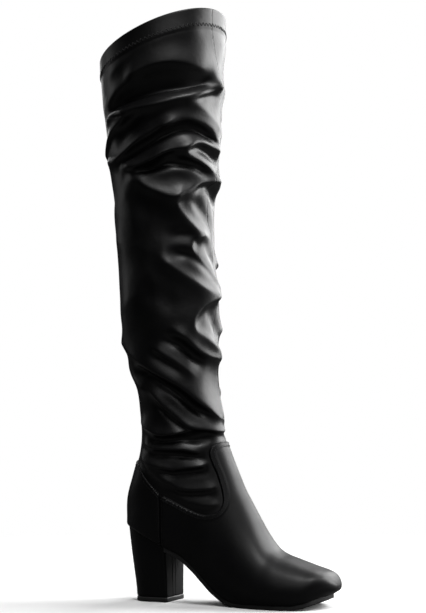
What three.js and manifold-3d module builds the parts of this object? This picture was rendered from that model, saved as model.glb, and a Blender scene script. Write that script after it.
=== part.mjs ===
// A right thigh-high boot with a slouchy stretch shaft and a wrapped block heel.
// Millimetres. +X points to the toe, +Y to the inner side of the foot, +Z up.
// The origin is the middle of the heel's tread, on the ground.

import * as THREE from "three";
import { mergeVertices } from "three/addons/utils/BufferGeometryUtils.js";
import Module from "manifold-3d";

const wasm = await Module();
wasm.setup();

// Driving sizes
const FOOT_LENGTH = 241;
const BALL_WIDTH = 90;
const ANKLE_HEIGHT = 174;
const SHAFT_HEIGHT = 454;
const COLLAR_DEPTH = 144;
const COLLAR_WIDTH = 134;
const HEM_HEIGHT = 20;

// Thicknesses and clearances
const WALL = 1.6;
const PANEL_THICKNESS = 1.2;
const HEM_STEP = 0.8;
const GAP = 0.35;
const SEAM_GAP = 0.4;
const SOLE_THICKNESS = 4.8;
const SOLE_MARGIN = 1.0;
const INSOLE_THICKNESS = 2.0;
const INSOLE_INSET = 2.0;
const TOP_PIECE_THICKNESS = 5.0;
const TOP_PIECE_MARGIN = 0.5;
const TOP_PIECE_BEVEL = 0.8;
const CHAIN_THICKNESS = 2.0;

// Shape of the nose, as shares of the foot length, with the power of its curve
const NOSE_DEPTH_SHARE = 0.05;
const NOSE_WIDTH_SHARE = 0.158;
const NOSE_DEPTH_POWER = 2.2;
const NOSE_WIDTH_POWER = 2.5;

// Sections that the nose's curve shapes, counted from the toe
const NOSE_SECTIONS = 5;

// Share of the foot length that lies behind the middle of the heel's tread
const HEEL_OVERHANG = 0.145;

// Half the width and depth of the forms that only cut, wider than any solid
const CUT_REACH = COLLAR_WIDTH;

// Spacing of the skin's columns in degrees, and of the shaft's rows in millimetres
const COLUMN_ANGLE = 15;
const ROW_SPACING = 8.4;
const COLUMNS = Math.round(360 / COLUMN_ANGLE);
const SKIN_STEP = 0.02;

const footX = (share) => (share - HEEL_OVERHANG) * FOOT_LENGTH;
const footZ = (share) => share * ANKLE_HEIGHT;
const shaftZ = (share) => ANKLE_HEIGHT + share * SHAFT_HEIGHT;
const clamp = (value, low, high) => Math.min(Math.max(value, low), high);
const ease = (value, low, high) => {
  const t = clamp((value - low) / (high - low), 0, 1);
  return t * t * (3 - 2 * t);
};

// Sections of the foot, from the toe to the ankle. top and bottom are a section's two ends:
// shares of the foot length and of the ankle height. outer and inner are its half widths,
// shares of the ball width. power squares the section, and drop lowers its widest place.
const FOOT_SECTIONS = [
  { top: [1.002, 0.166], bottom: [1.002, 0.09], outer: 0.336, inner: 0.336, power: 2.5, drop: 0.0 },
  { top: [0.975, 0.198], bottom: [0.975, 0.088], outer: 0.363, inner: 0.366, power: 2.6, drop: 0.0 },
  { top: [0.934, 0.22], bottom: [0.934, 0.045], outer: 0.404, inner: 0.405, power: 2.6, drop: 0.03 },
  { top: [0.884, 0.243], bottom: [0.884, -0.04], outer: 0.45, inner: 0.439, power: 2.45, drop: 0.1 },
  { top: [0.809, 0.279], bottom: [0.809, -0.069], outer: 0.5, inner: 0.472, power: 2.3, drop: 0.14 },
  { top: [0.755, 0.305], bottom: [0.739, -0.069], outer: 0.517, inner: 0.483, power: 2.3, drop: 0.15 },
  { top: [0.712, 0.345], bottom: [0.66, -0.069], outer: 0.508, inner: 0.467, power: 2.25, drop: 0.17 },
  { top: [0.67, 0.425], bottom: [0.573, -0.057], outer: 0.478, inner: 0.422, power: 2.2, drop: 0.19 },
  { top: [0.633, 0.517], bottom: [0.494, 0.0], outer: 0.439, inner: 0.383, power: 2.15, drop: 0.2 },
  { top: [0.589, 0.626], bottom: [0.411, 0.069], outer: 0.406, inner: 0.366, power: 2.2, drop: 0.18 },
  { top: [0.556, 0.707], bottom: [0.315, 0.167], outer: 0.385, inner: 0.36, power: 2.3, drop: 0.16 },
  { top: [0.529, 0.793], bottom: [0.208, 0.224], outer: 0.374, inner: 0.357, power: 2.4, drop: 0.14 },
  { top: [0.506, 0.868], bottom: [0.09, 0.276], outer: 0.372, inner: 0.36, power: 2.45, drop: 0.1 },
  { top: [0.488, 0.931], bottom: [0.012, 0.368], outer: 0.374, inner: 0.367, power: 2.4, drop: 0.05 },
  { top: [0.473, 0.983], bottom: [0.002, 0.517], outer: 0.38, inner: 0.378, power: 2.3, drop: 0.02 },
  { top: [0.463, 1.029], bottom: [0.003, 0.638], outer: 0.39, inner: 0.39, power: 2.2, drop: 0.0 },
  { top: [0.452, 1.08], bottom: [0.029, 0.77], outer: 0.405, inner: 0.405, power: 2.1, drop: 0.0 },
  { top: [0.444, 1.132], bottom: [0.058, 0.902], outer: 0.42, inner: 0.42, power: 2.1, drop: 0.0 },
  { top: [0.436, 1.195], bottom: [0.071, 1.046], outer: 0.432, inner: 0.432, power: 2.1, drop: 0.0 },
  { top: [0.425, 1.287], bottom: [0.062, 1.207], outer: 0.442, inner: 0.442, power: 2.1, drop: 0.0 },
];

// Level sections of the shaft: rise is a share of the shaft height above the ankle, centre a
// share of the foot length, depth and width shares of the collar's depth and width.
const SHAFT_SECTIONS = [
  { rise: 0.156, centre: 0.23, depth: 0.639, width: 0.642 },
  { rise: 0.211, centre: 0.218, depth: 0.688, width: 0.687 },
  { rise: 0.273, centre: 0.203, depth: 0.743, width: 0.739 },
  { rise: 0.344, centre: 0.191, depth: 0.771, width: 0.769 },
  { rise: 0.423, centre: 0.18, depth: 0.768, width: 0.765 },
  { rise: 0.498, centre: 0.172, depth: 0.768, width: 0.768 },
  { rise: 0.573, centre: 0.166, depth: 0.789, width: 0.784 },
  { rise: 0.652, centre: 0.163, depth: 0.84, width: 0.836 },
  { rise: 0.718, centre: 0.162, depth: 0.882, width: 0.881 },
  { rise: 0.795, centre: 0.16, depth: 0.917, width: 0.914 },
  { rise: 0.872, centre: 0.158, depth: 0.958, width: 0.955 },
  { rise: 0.938, centre: 0.155, depth: 0.986, width: 0.985 },
  { rise: 1.0, centre: 0.153, depth: 1.0, width: 1.0 },
];
const SHAFT_POWER = 2.05;

// Folds of the shaft. turns and rises hold the crest's path: the angle from the toe, a share
// of a half turn, with the outer side negative, and the height above the ankle, a share of
// the shaft height. swell is how far it stands out, a share of the collar depth; a trough is
// negative. over and under are its reach above and below the crest, shares of the shaft
// height.
const FOLDS = [
  {
    turns: [-0.83, -0.52, -0.37, -0.1, 0.17],
    rises: [0.84, 0.863, 0.87, 0.846, 0.84],
    swell: 0.02, over: 0.03, under: 0.023,
  },
  {
    turns: [-0.75, -0.4, 0],
    rises: [0.846, 0.841, 0.838],
    swell: -0.056, over: 0.023, under: 0.023,
  },
  {
    turns: [-0.78, -0.46, -0.2, 0.03],
    rises: [0.823, 0.81, 0.822, 0.84],
    swell: 0.042, over: 0.023, under: 0.035,
  },
  {
    turns: [-0.97, -0.72, -0.53, -0.33],
    rises: [0.7, 0.705, 0.738, 0.766],
    swell: 0.045, over: 0.023, under: 0.03,
  },
  {
    turns: [-0.39, -0.2, 0, 0.17],
    rises: [0.762, 0.762, 0.74, 0.715],
    swell: -0.036, over: 0.023, under: 0.023,
  },
  {
    turns: [-0.69, -0.51, -0.37, -0.23, -0.03],
    rises: [0.676, 0.696, 0.727, 0.742, 0.733],
    swell: -0.042, over: 0.023, under: 0.023,
  },
  {
    turns: [-0.69, -0.52, -0.32, -0.14, 0],
    rises: [0.65, 0.67, 0.705, 0.714, 0.71],
    swell: 0.048, over: 0.023, under: 0.028,
  },
  {
    turns: [-0.47, -0.32, -0.11],
    rises: [0.654, 0.663, 0.643],
    swell: -0.039, over: 0.023, under: 0.023,
  },
  {
    turns: [-0.28, -0.21, -0.11, 0.02, 0.17],
    rises: [0.7, 0.678, 0.665, 0.641, 0.615],
    swell: 0.042, over: 0.023, under: 0.024,
  },
  {
    turns: [-0.67, -0.44, -0.29, -0.14, 0.07],
    rises: [0.66, 0.608, 0.599, 0.617, 0.639],
    swell: 0.045, over: 0.023, under: 0.03,
  },
  {
    turns: [-0.25, -0.11, 0.06],
    rises: [0.588, 0.599, 0.615],
    swell: -0.031, over: 0.023, under: 0.023,
  },
  {
    turns: [-0.26, -0.21, -0.08, 0.04],
    rises: [0.6, 0.56, 0.504, 0.455],
    swell: 0.036, over: 0.024, under: 0.024,
  },
  {
    turns: [-0.17, -0.08, 0.06, 0.18],
    rises: [0.5, 0.446, 0.41, 0.36],
    swell: 0.025, over: 0.023, under: 0.023,
  },
  {
    turns: [-0.33, -0.17, 0.03],
    rises: [0.43, 0.427, 0.4],
    swell: -0.025, over: 0.023, under: 0.023,
  },
  {
    turns: [-0.39, -0.22, -0.07, 0.08],
    rises: [0.43, 0.392, 0.368, 0.362],
    swell: 0.036, over: 0.023, under: 0.028,
  },
  {
    turns: [-0.17, -0.13, 0, 0.14],
    rises: [0.34, 0.28, 0.238, 0.21],
    swell: 0.028, over: 0.023, under: 0.023,
  },
  {
    turns: [-0.33, -0.17, -0.03],
    rises: [0.275, 0.253, 0.228],
    swell: -0.031, over: 0.023, under: 0.023,
  },
  {
    turns: [-0.42, -0.25, -0.04],
    rises: [0.265, 0.229, 0.205],
    swell: 0.034, over: 0.023, under: 0.024,
  },
  {
    turns: [-0.97, -0.76, -0.54, -0.28, -0.15, 0.06],
    rises: [0.225, 0.196, 0.161, 0.108, 0.068, 0.04],
    swell: 0.059, over: 0.024, under: 0.03,
  },
  {
    turns: [-0.69, -0.43, -0.23, -0.08],
    rises: [0.161, 0.123, 0.077, 0.046],
    swell: -0.048, over: 0.023, under: 0.023,
  },
  {
    turns: [-0.67, -0.46, -0.28, -0.06],
    rises: [0.123, 0.075, 0.037, 0.028],
    swell: 0.036, over: 0.023, under: 0.023,
  },
  {
    turns: [-0.75, -0.51, -0.31, -0.03],
    rises: [0.042, 0.022, 0.015, 0.0],
    swell: 0.034, over: 0.023, under: 0.023,
  },
  {
    turns: [-0.64, -0.44, -0.28],
    rises: [-0.03, -0.062, -0.055],
    swell: 0.025, over: 0.023, under: 0.023,
  },
  {
    turns: [-0.61, -0.33, -0.17],
    rises: [-0.09, -0.112, -0.108],
    swell: 0.025, over: 0.023, under: 0.023,
  },
  {
    turns: [0.07, 0.25, 0.4],
    rises: [0.269, 0.304, 0.36],
    swell: 0.036, over: 0.023, under: 0.026,
  },
  {
    turns: [0.03, 0.19, 0.33, 0.4],
    rises: [0.108, 0.143, 0.216, 0.275],
    swell: 0.039, over: 0.023, under: 0.026,
  },
  {
    turns: [0.12, 0.28, 0.39],
    rises: [0.118, 0.17, 0.24],
    swell: -0.028, over: 0.023, under: 0.023,
  },
  {
    turns: [0.69, 0.83, 1.03],
    rises: [0.15, 0.19, 0.23],
    swell: 0.036, over: 0.023, under: 0.028,
  },
  {
    turns: [0.75, 1, 1.19],
    rises: [0.33, 0.31, 0.33],
    swell: 0.028, over: 0.024, under: 0.024,
  },
  {
    turns: [0.67, 0.83, 1.06],
    rises: [0.06, 0.075, 0.1],
    swell: 0.028, over: 0.023, under: 0.023,
  },
  {
    turns: [0.11, 0.33, 0.61, 0.89, 1.11],
    rises: [0.71, 0.68, 0.695, 0.72, 0.71],
    swell: 0.039, over: 0.023, under: 0.03,
  },
  {
    turns: [0.17, 0.44, 0.72, 1.03, 1.19],
    rises: [0.8, 0.815, 0.79, 0.81, 0.82],
    swell: 0.036, over: 0.023, under: 0.03,
  },
  {
    turns: [0.22, 0.5, 0.83],
    rises: [0.75, 0.75, 0.755],
    swell: -0.034, over: 0.023, under: 0.023,
  },
  {
    turns: [0.33, 0.61, 0.94, 1.19],
    rises: [0.6, 0.62, 0.61, 0.64],
    swell: 0.031, over: 0.023, under: 0.028,
  },
];
// How far a fold fades past each end of its path, in degrees
const FOLD_END = 16;

// Where the collar slopes: front high, back low, over the upper part of the shaft
const COLLAR_SLOPE = 0.37;
const COLLAR_SLOPE_FROM = 0.62;

// The feather line, where the uppers meet the sole: shares of the foot length and of the
// ankle height, above the thickness of the sole.
const FEATHER_RISE = [
  [-0.03, 0.482],
  [0.004, 0.457],
  [0.062, 0.423],
  [0.145, 0.367],
  [0.22, 0.318],
  [0.27, 0.29],
  [0.311, 0.262],
  [0.373, 0.193],
  [0.419, 0.13],
  [0.469, 0.063],
  [0.527, 0.013],
  [0.575, 0.0],
  [0.83, 0.0],
  [0.884, 0.013],
  [0.9375, 0.042],
  [1.01, 0.075],
];

// Heel block outline: rise as shares of the ankle height, back and front as shares of the
// foot length, and half width as shares of the ball width.
const HEEL_SECTIONS = [
  { rise: 0.0, back: 0.0554, front: 0.228, half: 0.256 },
  { rise: 0.103, back: 0.0475, front: 0.2267, half: 0.262 },
  { rise: 0.293, back: 0.027, front: 0.223, half: 0.292 },
  { rise: 0.483, back: 0.011, front: 0.2195, half: 0.325 },
  { rise: 0.57, back: 0.005, front: 0.219, half: 0.336 },
];
const HEEL_ROUND_FROM = 0.15;
const HEEL_POWER = 2.7;
const HEEL_ARC_STEPS = 14;
const HEEL_CORNER = 1.2;
const HEEL_RINGS = [0.1, 0.17, 0.24, 0.31, 0.38, 0.45, 0.57];

// Side views of the panels: shares of the foot length and of the ankle height. Values past
// the object only close the outline.
const OUT = 1.6;
const BEHIND = -0.3;
const DEEP = -0.3;
const SIDE_SEAM = 0.2145;
const COUNTER_TOP_OUTER = [
  [BEHIND, 0.9],
  [0.054, 0.885],
  [0.09, 0.853],
  [0.158, 0.747],
  [SIDE_SEAM, 0.67],
];
const COUNTER_TOP_INNER = [
  [BEHIND, 0.9],
  [0.054, 0.885],
  [0.09, 0.853],
  [0.135, 0.79],
  [0.172, 0.747],
];
const VAMP_TOP_OUTER = [
  [SIDE_SEAM, 0.67],
  [0.278, 0.63],
  [0.357, 0.578],
  [0.423, 0.549],
  [0.477, 0.558],
  [0.502, 0.598],
  [0.5, 0.667],
  [0.473, 0.776],
  [0.446, 0.859],
  [0.431, 0.914],
  [0.436, 0.957],
  [0.461, 0.991],
  [0.5, 1.012],
  [OUT, 1.02],
];
const VAMP_TOP_INNER = [
  [0.232, 0.618],
  [0.294, 0.616],
  [0.315, 0.59],
  [0.345, 0.573],
  [0.385, 0.572],
  [0.42, 0.585],
  [0.445, 0.616],
  [0.453, 0.68],
  [0.45, 0.776],
  [0.436, 0.859],
  [0.43, 0.914],
  [0.436, 0.957],
  [0.461, 0.991],
  [0.5, 1.012],
  [OUT, 1.02],
];

// The zip on the inner side: shares of the foot length and of the ankle height
const ZIP_LINE = [
  [0.243, 0.375],
  [0.222, 0.46],
  [0.204, 0.56],
  [0.196, 0.66],
  [0.207, 0.81],
  [0.232, 0.97],
  [0.232, 1.15],
  [0.216, 1.4],
  [0.2, 1.72],
  [0.193, 2.02],
];
const CHAIN_HALF_WIDTH = 4;
const TAPE_GAP = 2.2;
const FACING_WIDTH = 15;
const FACING_FROM = 0.622;
const FACING_TO = 1.97;
const FACING_CORNER = 0.06;
const SLIDER_AT = 1.9;

// Zip slider and its pull tab
const SLIDER_WIDTH = 9;
const SLIDER_HEIGHT = 12;
const SLIDER_DEPTH = 3.2;
const EAR_SPREAD = 2.9;
const EAR_WIDTH = 1.3;
const EAR_RADIUS = 1.9;
const EAR_LIFT = 0.4;
const EAR_RISE = 0.2;
const PIN_RADIUS = 0.9;
const EYE_RADIUS = 1.9;
const EYE_BORE = 1.15;
const EYE_WIDTH = 3.6;
const TAB_WIDTH = 6.4;
const TAB_LENGTH = 21;
const TAB_THICKNESS = 1.2;
const TAB_SHOULDER = 3;
const TAB_DROP = 0.6;
const NECK_LENGTH = 5;
const ROUND_SIDES = 16;
const EYE_SIDES = 20;

// A smooth curve through keyed values. A guarded curve never swings past its points.
function curveThrough(keys, values, guarded) {
  const last = keys.length - 1;
  const slopes = keys.map((key, i) => {
    const a = Math.max(i - 1, 0);
    const b = Math.min(i + 1, last);
    const before = i > 0 ? (values[i] - values[i - 1]) / (keys[i] - keys[i - 1]) : 0;
    const after = i < last ? (values[i + 1] - values[i]) / (keys[i + 1] - keys[i]) : 0;
    if (guarded && i > 0 && i < last) {
      return before * after > 0 ? (2 * before * after) / (before + after) : 0;
    }
    return (values[b] - values[a]) / (keys[b] - keys[a]);
  });
  return (at) => {
    const key = clamp(at, keys[0], keys[last]);
    let i = 0;
    while (i < last - 1 && key > keys[i + 1]) {
      i += 1;
    }
    const span = keys[i + 1] - keys[i];
    const t = (key - keys[i]) / span;
    const rise = values[i + 1] - values[i];
    const a = span * slopes[i] - rise;
    const b = rise - span * slopes[i + 1];
    return values[i] + t * rise + t * (1 - t) * ((1 - t) * a + t * b);
  };
}

const featherRise = curveThrough(
  FEATHER_RISE.map((row) => footX(row[0])),
  FEATHER_RISE.map((row) => footZ(row[1])),
  true,
);
const featherZ = (x) => SOLE_THICKNESS + featherRise(x);

// The underside of the sole, its thickness measured square to the feather line
function undersideZ(x) {
  const slope = (featherRise(x + 1) - featherRise(x - 1)) / 2;
  return Math.max(featherZ(x) - SOLE_THICKNESS * Math.hypot(1, slope), 0);
}

// All sections in one list, in millimetres
const sections = [
  ...FOOT_SECTIONS.map((row) => ({
    topX: footX(row.top[0]),
    topZ: footZ(row.top[1]),
    bottomX: footX(row.bottom[0]),
    bottomZ: footZ(row.bottom[1]),
    outer: row.outer * BALL_WIDTH,
    inner: row.inner * BALL_WIDTH,
    power: row.power,
    drop: row.drop,
  })),
  ...SHAFT_SECTIONS.map((row) => ({
    topX: footX(row.centre) + (row.depth * COLLAR_DEPTH) / 2,
    topZ: shaftZ(row.rise),
    bottomX: footX(row.centre) - (row.depth * COLLAR_DEPTH) / 2,
    bottomZ: shaftZ(row.rise),
    outer: (row.width * COLLAR_WIDTH) / 2,
    inner: (row.width * COLLAR_WIDTH) / 2,
    power: SHAFT_POWER,
    drop: 0,
  })),
];
const LAST_SECTION = sections.length - 1;
const sectionKeys = sections.map((section, i) => i);
const sectionCurves = Object.fromEntries(
  Object.keys(sections[0]).map((name) => [
    name,
    curveThrough(sectionKeys, sections.map((section) => section[name]), false),
  ]),
);

const noseFactor = (distance, reach, power) => {
  const t = clamp(distance / reach, 0, 1);
  return Math.pow(1 - Math.pow(1 - t, power), 1 / power);
};
const roundPower = (value, power) => Math.sign(value) * Math.pow(Math.abs(value), 2 / power);

// Centre of the shaft at a height, for the folds' angles, from the lowest height of a fold
const FOLDS_FROM = 0.6;
const FOLDS_FROM_CENTRE = 0.27;
const shaftCentre = curveThrough(
  [footZ(FOLDS_FROM), ...SHAFT_SECTIONS.map((row) => shaftZ(row.rise))],
  [footX(FOLDS_FROM_CENTRE), ...SHAFT_SECTIONS.map((row) => footX(row.centre))],
  false,
);

const foldCurves = FOLDS.map((fold) => {
  const angles = fold.turns.map((turn) => turn * 180);
  return {
    low: angles[0],
    high: angles[angles.length - 1],
    crest: curveThrough(angles, fold.rises.map(shaftZ), false),
    swell: fold.swell * COLLAR_DEPTH,
    over: fold.over * SHAFT_HEIGHT,
    under: fold.under * SHAFT_HEIGHT,
  };
});

// How far the folds move the surface at an angle and height
function foldSwell(degrees, z) {
  let sum = 0;
  for (const fold of foldCurves) {
    for (const turn of [-360, 0, 360]) {
      const angle = degrees + turn;
      if (angle < fold.low - FOLD_END || angle > fold.high + FOLD_END) {
        continue;
      }
      const fade = ease(angle, fold.low - FOLD_END, fold.low + FOLD_END)
        * (1 - ease(angle, fold.high - FOLD_END, fold.high + FOLD_END));
      const away = z - fold.crest(angle);
      const reach = away > 0 ? fold.over : fold.under;
      sum += fold.swell * fade * Math.exp(-Math.pow(away / reach, 2));
    }
  }
  return sum;
}

// Distance from a point to an outline in side view, negative inside it
function outlineDistance(outline, x, z) {
  let nearest = Infinity;
  let inside = false;
  for (let i = 0; i < outline.length; i += 1) {
    const a = outline[i];
    const b = outline[(i + 1) % outline.length];
    const dx = b[0] - a[0];
    const dz = b[1] - a[1];
    const t = clamp(((x - a[0]) * dx + (z - a[1]) * dz) / (dx * dx + dz * dz), 0, 1);
    nearest = Math.min(nearest, Math.hypot(x - a[0] - t * dx, z - a[1] - t * dz));
    if ((a[1] > z) !== (b[1] > z) && x < a[0] + (dx * (z - a[1])) / dz) {
      inside = !inside;
    }
  }
  return inside ? -nearest : nearest;
}

const sideView = (rows) => rows.map((row) => [footX(row[0]), footZ(row[1])]);
const zipX = curveThrough(
  ZIP_LINE.map((row) => footZ(row[1])),
  ZIP_LINE.map((row) => footX(row[0])),
  false,
);

// Points beside the zip, from one height to another
const ZIP_POINT_SPACING = 0.12;
function besideZip(shift, from, to) {
  const count = Math.ceil(Math.abs(to - from) / ZIP_POINT_SPACING);
  const points = [];
  for (let i = 0; i <= count; i += 1) {
    const z = footZ(from + ((to - from) * i) / count);
    points.push([zipX(z) + shift, z]);
  }
  return points;
}

const zipLow = ZIP_LINE[0][1];
const zipHigh = ZIP_LINE[ZIP_LINE.length - 1][1];
const tapeEdge = CHAIN_HALF_WIDTH + TAPE_GAP;
const facingFront = tapeEdge + FACING_WIDTH;
const vampTopInner = sideView(VAMP_TOP_INNER);
vampTopInner[0][0] = zipX(vampTopInner[0][1]) + tapeEdge;
const counterTopInner = sideView(COUNTER_TOP_INNER);
const counterEnd = counterTopInner[counterTopInner.length - 1];
counterEnd[0] = zipX(counterEnd[1]) - tapeEdge;
const counterEndShare = counterEnd[1] / ANKLE_HEIGHT;
const vampEndShare = vampTopInner[0][1] / ANKLE_HEIGHT;

const sideSeam = footX(SIDE_SEAM);

const panelOutlines = {
  counterOuter: [
    ...sideView(COUNTER_TOP_OUTER).map(([x, z]) => [Math.min(x, sideSeam - SEAM_GAP / 2), z]),
    [sideSeam - SEAM_GAP / 2, footZ(DEEP)],
    [footX(BEHIND), footZ(DEEP)],
  ],
  counterInner: [
    ...counterTopInner,
    ...besideZip(-tapeEdge, counterEndShare - ZIP_POINT_SPACING / 2, zipLow),
    [zipX(0) - tapeEdge, footZ(DEEP)],
    [footX(BEHIND), footZ(DEEP)],
  ],
  vampOuter: [
    ...sideView(VAMP_TOP_OUTER).map(([x, z]) => [Math.max(x, sideSeam + SEAM_GAP / 2), z]),
    [footX(OUT), footZ(DEEP)],
    [sideSeam + SEAM_GAP / 2, footZ(DEEP)],
  ],
  vampInner: [
    ...vampTopInner,
    [footX(OUT), footZ(DEEP)],
    [zipX(0) + tapeEdge, footZ(DEEP)],
    ...besideZip(tapeEdge, zipLow, vampEndShare - ZIP_POINT_SPACING / 2),
  ],
  facing: [
    ...besideZip(tapeEdge, FACING_FROM, FACING_TO),
    [zipX(footZ(FACING_TO)) + tapeEdge + FACING_WIDTH / 2, footZ(FACING_TO + FACING_CORNER / 2)],
    ...besideZip(facingFront, FACING_FROM, FACING_TO - FACING_CORNER).reverse(),
  ],
  chain: [
    ...besideZip(-CHAIN_HALF_WIDTH, zipLow, zipHigh),
    ...besideZip(CHAIN_HALF_WIDTH, zipLow, zipHigh).reverse(),
  ],
};
const COVERS_OUTER = [panelOutlines.counterOuter, panelOutlines.vampOuter];
const COVERS_INNER = [
  panelOutlines.counterInner,
  panelOutlines.vampInner,
  panelOutlines.facing,
  panelOutlines.chain,
];
const FOLD_CLEAR = 12;
const FOLD_FULL = 24;

// How freely the skin can fold here: none under a panel, all well away from every panel
function foldFreedom(x, y, z) {
  if (z > footZ(zipHigh) + FOLD_FULL) {
    return 1;
  }
  const side = (outlines) => Math.min(...outlines.map((outline) => outlineDistance(outline, x, z)));
  const blend = ease(y, -FOLD_CLEAR, FOLD_CLEAR);
  const outer = blend < 1 ? ease(side(COVERS_OUTER), FOLD_CLEAR, FOLD_FULL) : 1;
  const inner = blend > 0 ? ease(side(COVERS_INNER), FOLD_CLEAR, FOLD_FULL) : 1;
  return outer * (1 - blend) + inner * blend;
}

// The skin as a function of the section and the angle round it, from the top end over the
// outer side. The folds push it out from the shaft's centre.
function skinPoint(at, angle, folded) {
  const section = {};
  for (const name of Object.keys(sectionCurves)) {
    section[name] = sectionCurves[name](at);
  }
  const tip = sections[0].topX;
  const ahead = tip - (section.topX + section.bottomX) / 2;
  const nearToe = at < NOSE_SECTIONS;
  const depth = nearToe ? noseFactor(ahead, NOSE_DEPTH_SHARE * FOOT_LENGTH, NOSE_DEPTH_POWER) : 1;
  const breadth = nearToe ? noseFactor(ahead, NOSE_WIDTH_SHARE * FOOT_LENGTH, NOSE_WIDTH_POWER) : 1;
  const up = roundPower(Math.cos(angle), section.power);
  const across = roundPower(Math.sin(angle), section.power);
  const along = depth * (up - section.drop * (1 - up * up));
  const half = across > 0 ? section.outer : section.inner;
  let x = (section.topX + section.bottomX) / 2 + (along * (section.topX - section.bottomX)) / 2;
  let y = -across * half * breadth;
  let z = (section.topZ + section.bottomZ) / 2 + (along * (section.topZ - section.bottomZ)) / 2;
  if (folded && z > footZ(FOLDS_FROM)) {
    const centre = shaftCentre(z);
    const reach = Math.hypot(x - centre, y);
    const degrees = (Math.atan2(y, x - centre) * 180) / Math.PI;
    const push = foldSwell(degrees, z) * foldFreedom(x, y, z);
    x += (push * (x - centre)) / reach;
    y += (push * y) / reach;
  }
  const tilt = ease(z, shaftZ(COLLAR_SLOPE_FROM), shaftZ(1)) * COLLAR_SLOPE;
  z += tilt * (x - shaftCentre(z));
  return new THREE.Vector3(x, y, z);
}

// The skin moved outwards along its own normal
function offsetPoint(at, angle, offset, folded) {
  const point = skinPoint(at, angle, folded);
  if (at <= 0) {
    return point.add(new THREE.Vector3(offset, 0, 0));
  }
  const ahead = skinPoint(Math.min(at + SKIN_STEP, LAST_SECTION), angle, folded);
  const behind = skinPoint(Math.max(at - SKIN_STEP, 0), angle, folded);
  const left = skinPoint(at, angle - SKIN_STEP, folded);
  const right = skinPoint(at, angle + SKIN_STEP, folded);
  const normal = ahead.sub(behind).cross(right.sub(left)).normalize();
  return point.addScaledVector(normal, offset);
}

// Closed meshes from rings of points
function solidFrom(points, faces) {
  let volume = 0;
  for (const [a, b, c] of faces) {
    volume += points[a].dot(new THREE.Vector3().crossVectors(points[b], points[c]));
  }
  const ordered = volume > 0 ? faces : faces.map(([a, b, c]) => [a, c, b]);
  const mesh = new wasm.Mesh({
    numProp: 3,
    vertProperties: new Float32Array(points.flatMap((point) => [point.x, point.y, point.z])),
    triVerts: new Uint32Array(ordered.flat()),
  });
  return new wasm.Manifold(mesh);
}

function joinRings(faces, first, second, count) {
  for (let i = 0; i < count; i += 1) {
    const j = (i + 1) % count;
    faces.push([first + i, first + j, second + j], [first + i, second + j, second + i]);
  }
}

function capRing(faces, ring, centre, count, flipped) {
  for (let i = 0; i < count; i += 1) {
    const j = (i + 1) % count;
    faces.push(flipped ? [centre, ring + j, ring + i] : [centre, ring + i, ring + j]);
  }
}

function loftSolid(rings) {
  const count = rings[0].length;
  const points = rings.flat();
  const faces = [];
  for (let row = 0; row < rings.length - 1; row += 1) {
    joinRings(faces, row * count, (row + 1) * count, count);
  }
  for (const row of [0, rings.length - 1]) {
    const centre = new THREE.Vector3();
    rings[row].forEach((point) => centre.add(point));
    points.push(centre.divideScalar(count));
    capRing(faces, row * count, points.length - 1, count, row === 0);
  }
  return solidFrom(points, faces);
}

// Rows of the skin: crowded at the toe, on every section of the foot, even over the shaft
const TOE_ROWS = [0.07, 0.3, 0.7, 1.2, 1.8, 2.5, 3.25];
const FOOT_ROW_COUNT = FOOT_SECTIONS.length;

// Section where the shaft reaches a height, found by halving
const HALVINGS = 40;
function sectionAtRise(z) {
  let low = FOOT_ROW_COUNT - 1;
  let high = LAST_SECTION;
  for (let i = 0; i < HALVINGS; i += 1) {
    const middle = (low + high) / 2;
    if (sectionCurves.topZ(middle) < z) {
      low = middle;
    } else {
      high = middle;
    }
  }
  return (low + high) / 2;
}

function shaftRows(toZ) {
  const fromZ = sections[FOOT_ROW_COUNT - 1].topZ;
  const count = Math.round((shaftZ(1) - fromZ) / ROW_SPACING);
  const rows = [];
  for (let i = 1; i <= count; i += 1) {
    const z = fromZ + ((shaftZ(1) - fromZ) * i) / count;
    if (z <= toZ + ROW_SPACING / 8) {
      rows.push(sectionAtRise(z));
    }
  }
  return rows;
}

const footRows = [...TOE_ROWS];
for (let i = Math.ceil(TOE_ROWS[TOE_ROWS.length - 1]); i < FOOT_ROW_COUNT; i += 1) {
  footRows.push(i);
}

function skinRing(at, offset, folded) {
  const ring = [];
  for (let i = 0; i < COLUMNS; i += 1) {
    ring.push(offsetPoint(at, (i / COLUMNS) * 2 * Math.PI, offset, folded));
  }
  return ring;
}

// A filled form of the bare skin at an offset, up to a height, for cutting panels
function formSolid(offset, toZ) {
  const rows = [...footRows, ...shaftRows(toZ)];
  const rings = rows.map((at) => skinRing(at, offset, false));
  const points = [offsetPoint(0, 0, offset, false), ...rings.flat()];
  const faces = [];
  capRing(faces, 1, 0, COLUMNS, true);
  for (let row = 0; row < rings.length - 1; row += 1) {
    joinRings(faces, 1 + row * COLUMNS, 1 + (row + 1) * COLUMNS, COLUMNS);
  }
  const centre = new THREE.Vector3();
  rings[rings.length - 1].forEach((point) => centre.add(point));
  points.push(centre.divideScalar(COLUMNS));
  capRing(faces, 1 + (rings.length - 1) * COLUMNS, points.length - 1, COLUMNS, false);
  return solidFrom(points, faces);
}

// A solid across the boot with a side-view outline, between two places along Y
function sidePrism(outline, fromY, toY) {
  const shape = new THREE.Shape(outline.map(([x, z]) => new THREE.Vector2(x, z)));
  const geometry = new THREE.ExtrudeGeometry(shape, { depth: toY - fromY, bevelEnabled: false });
  geometry.rotateX(Math.PI / 2);
  geometry.translate(0, toY, 0);
  return geometrySolid(geometry);
}

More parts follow.
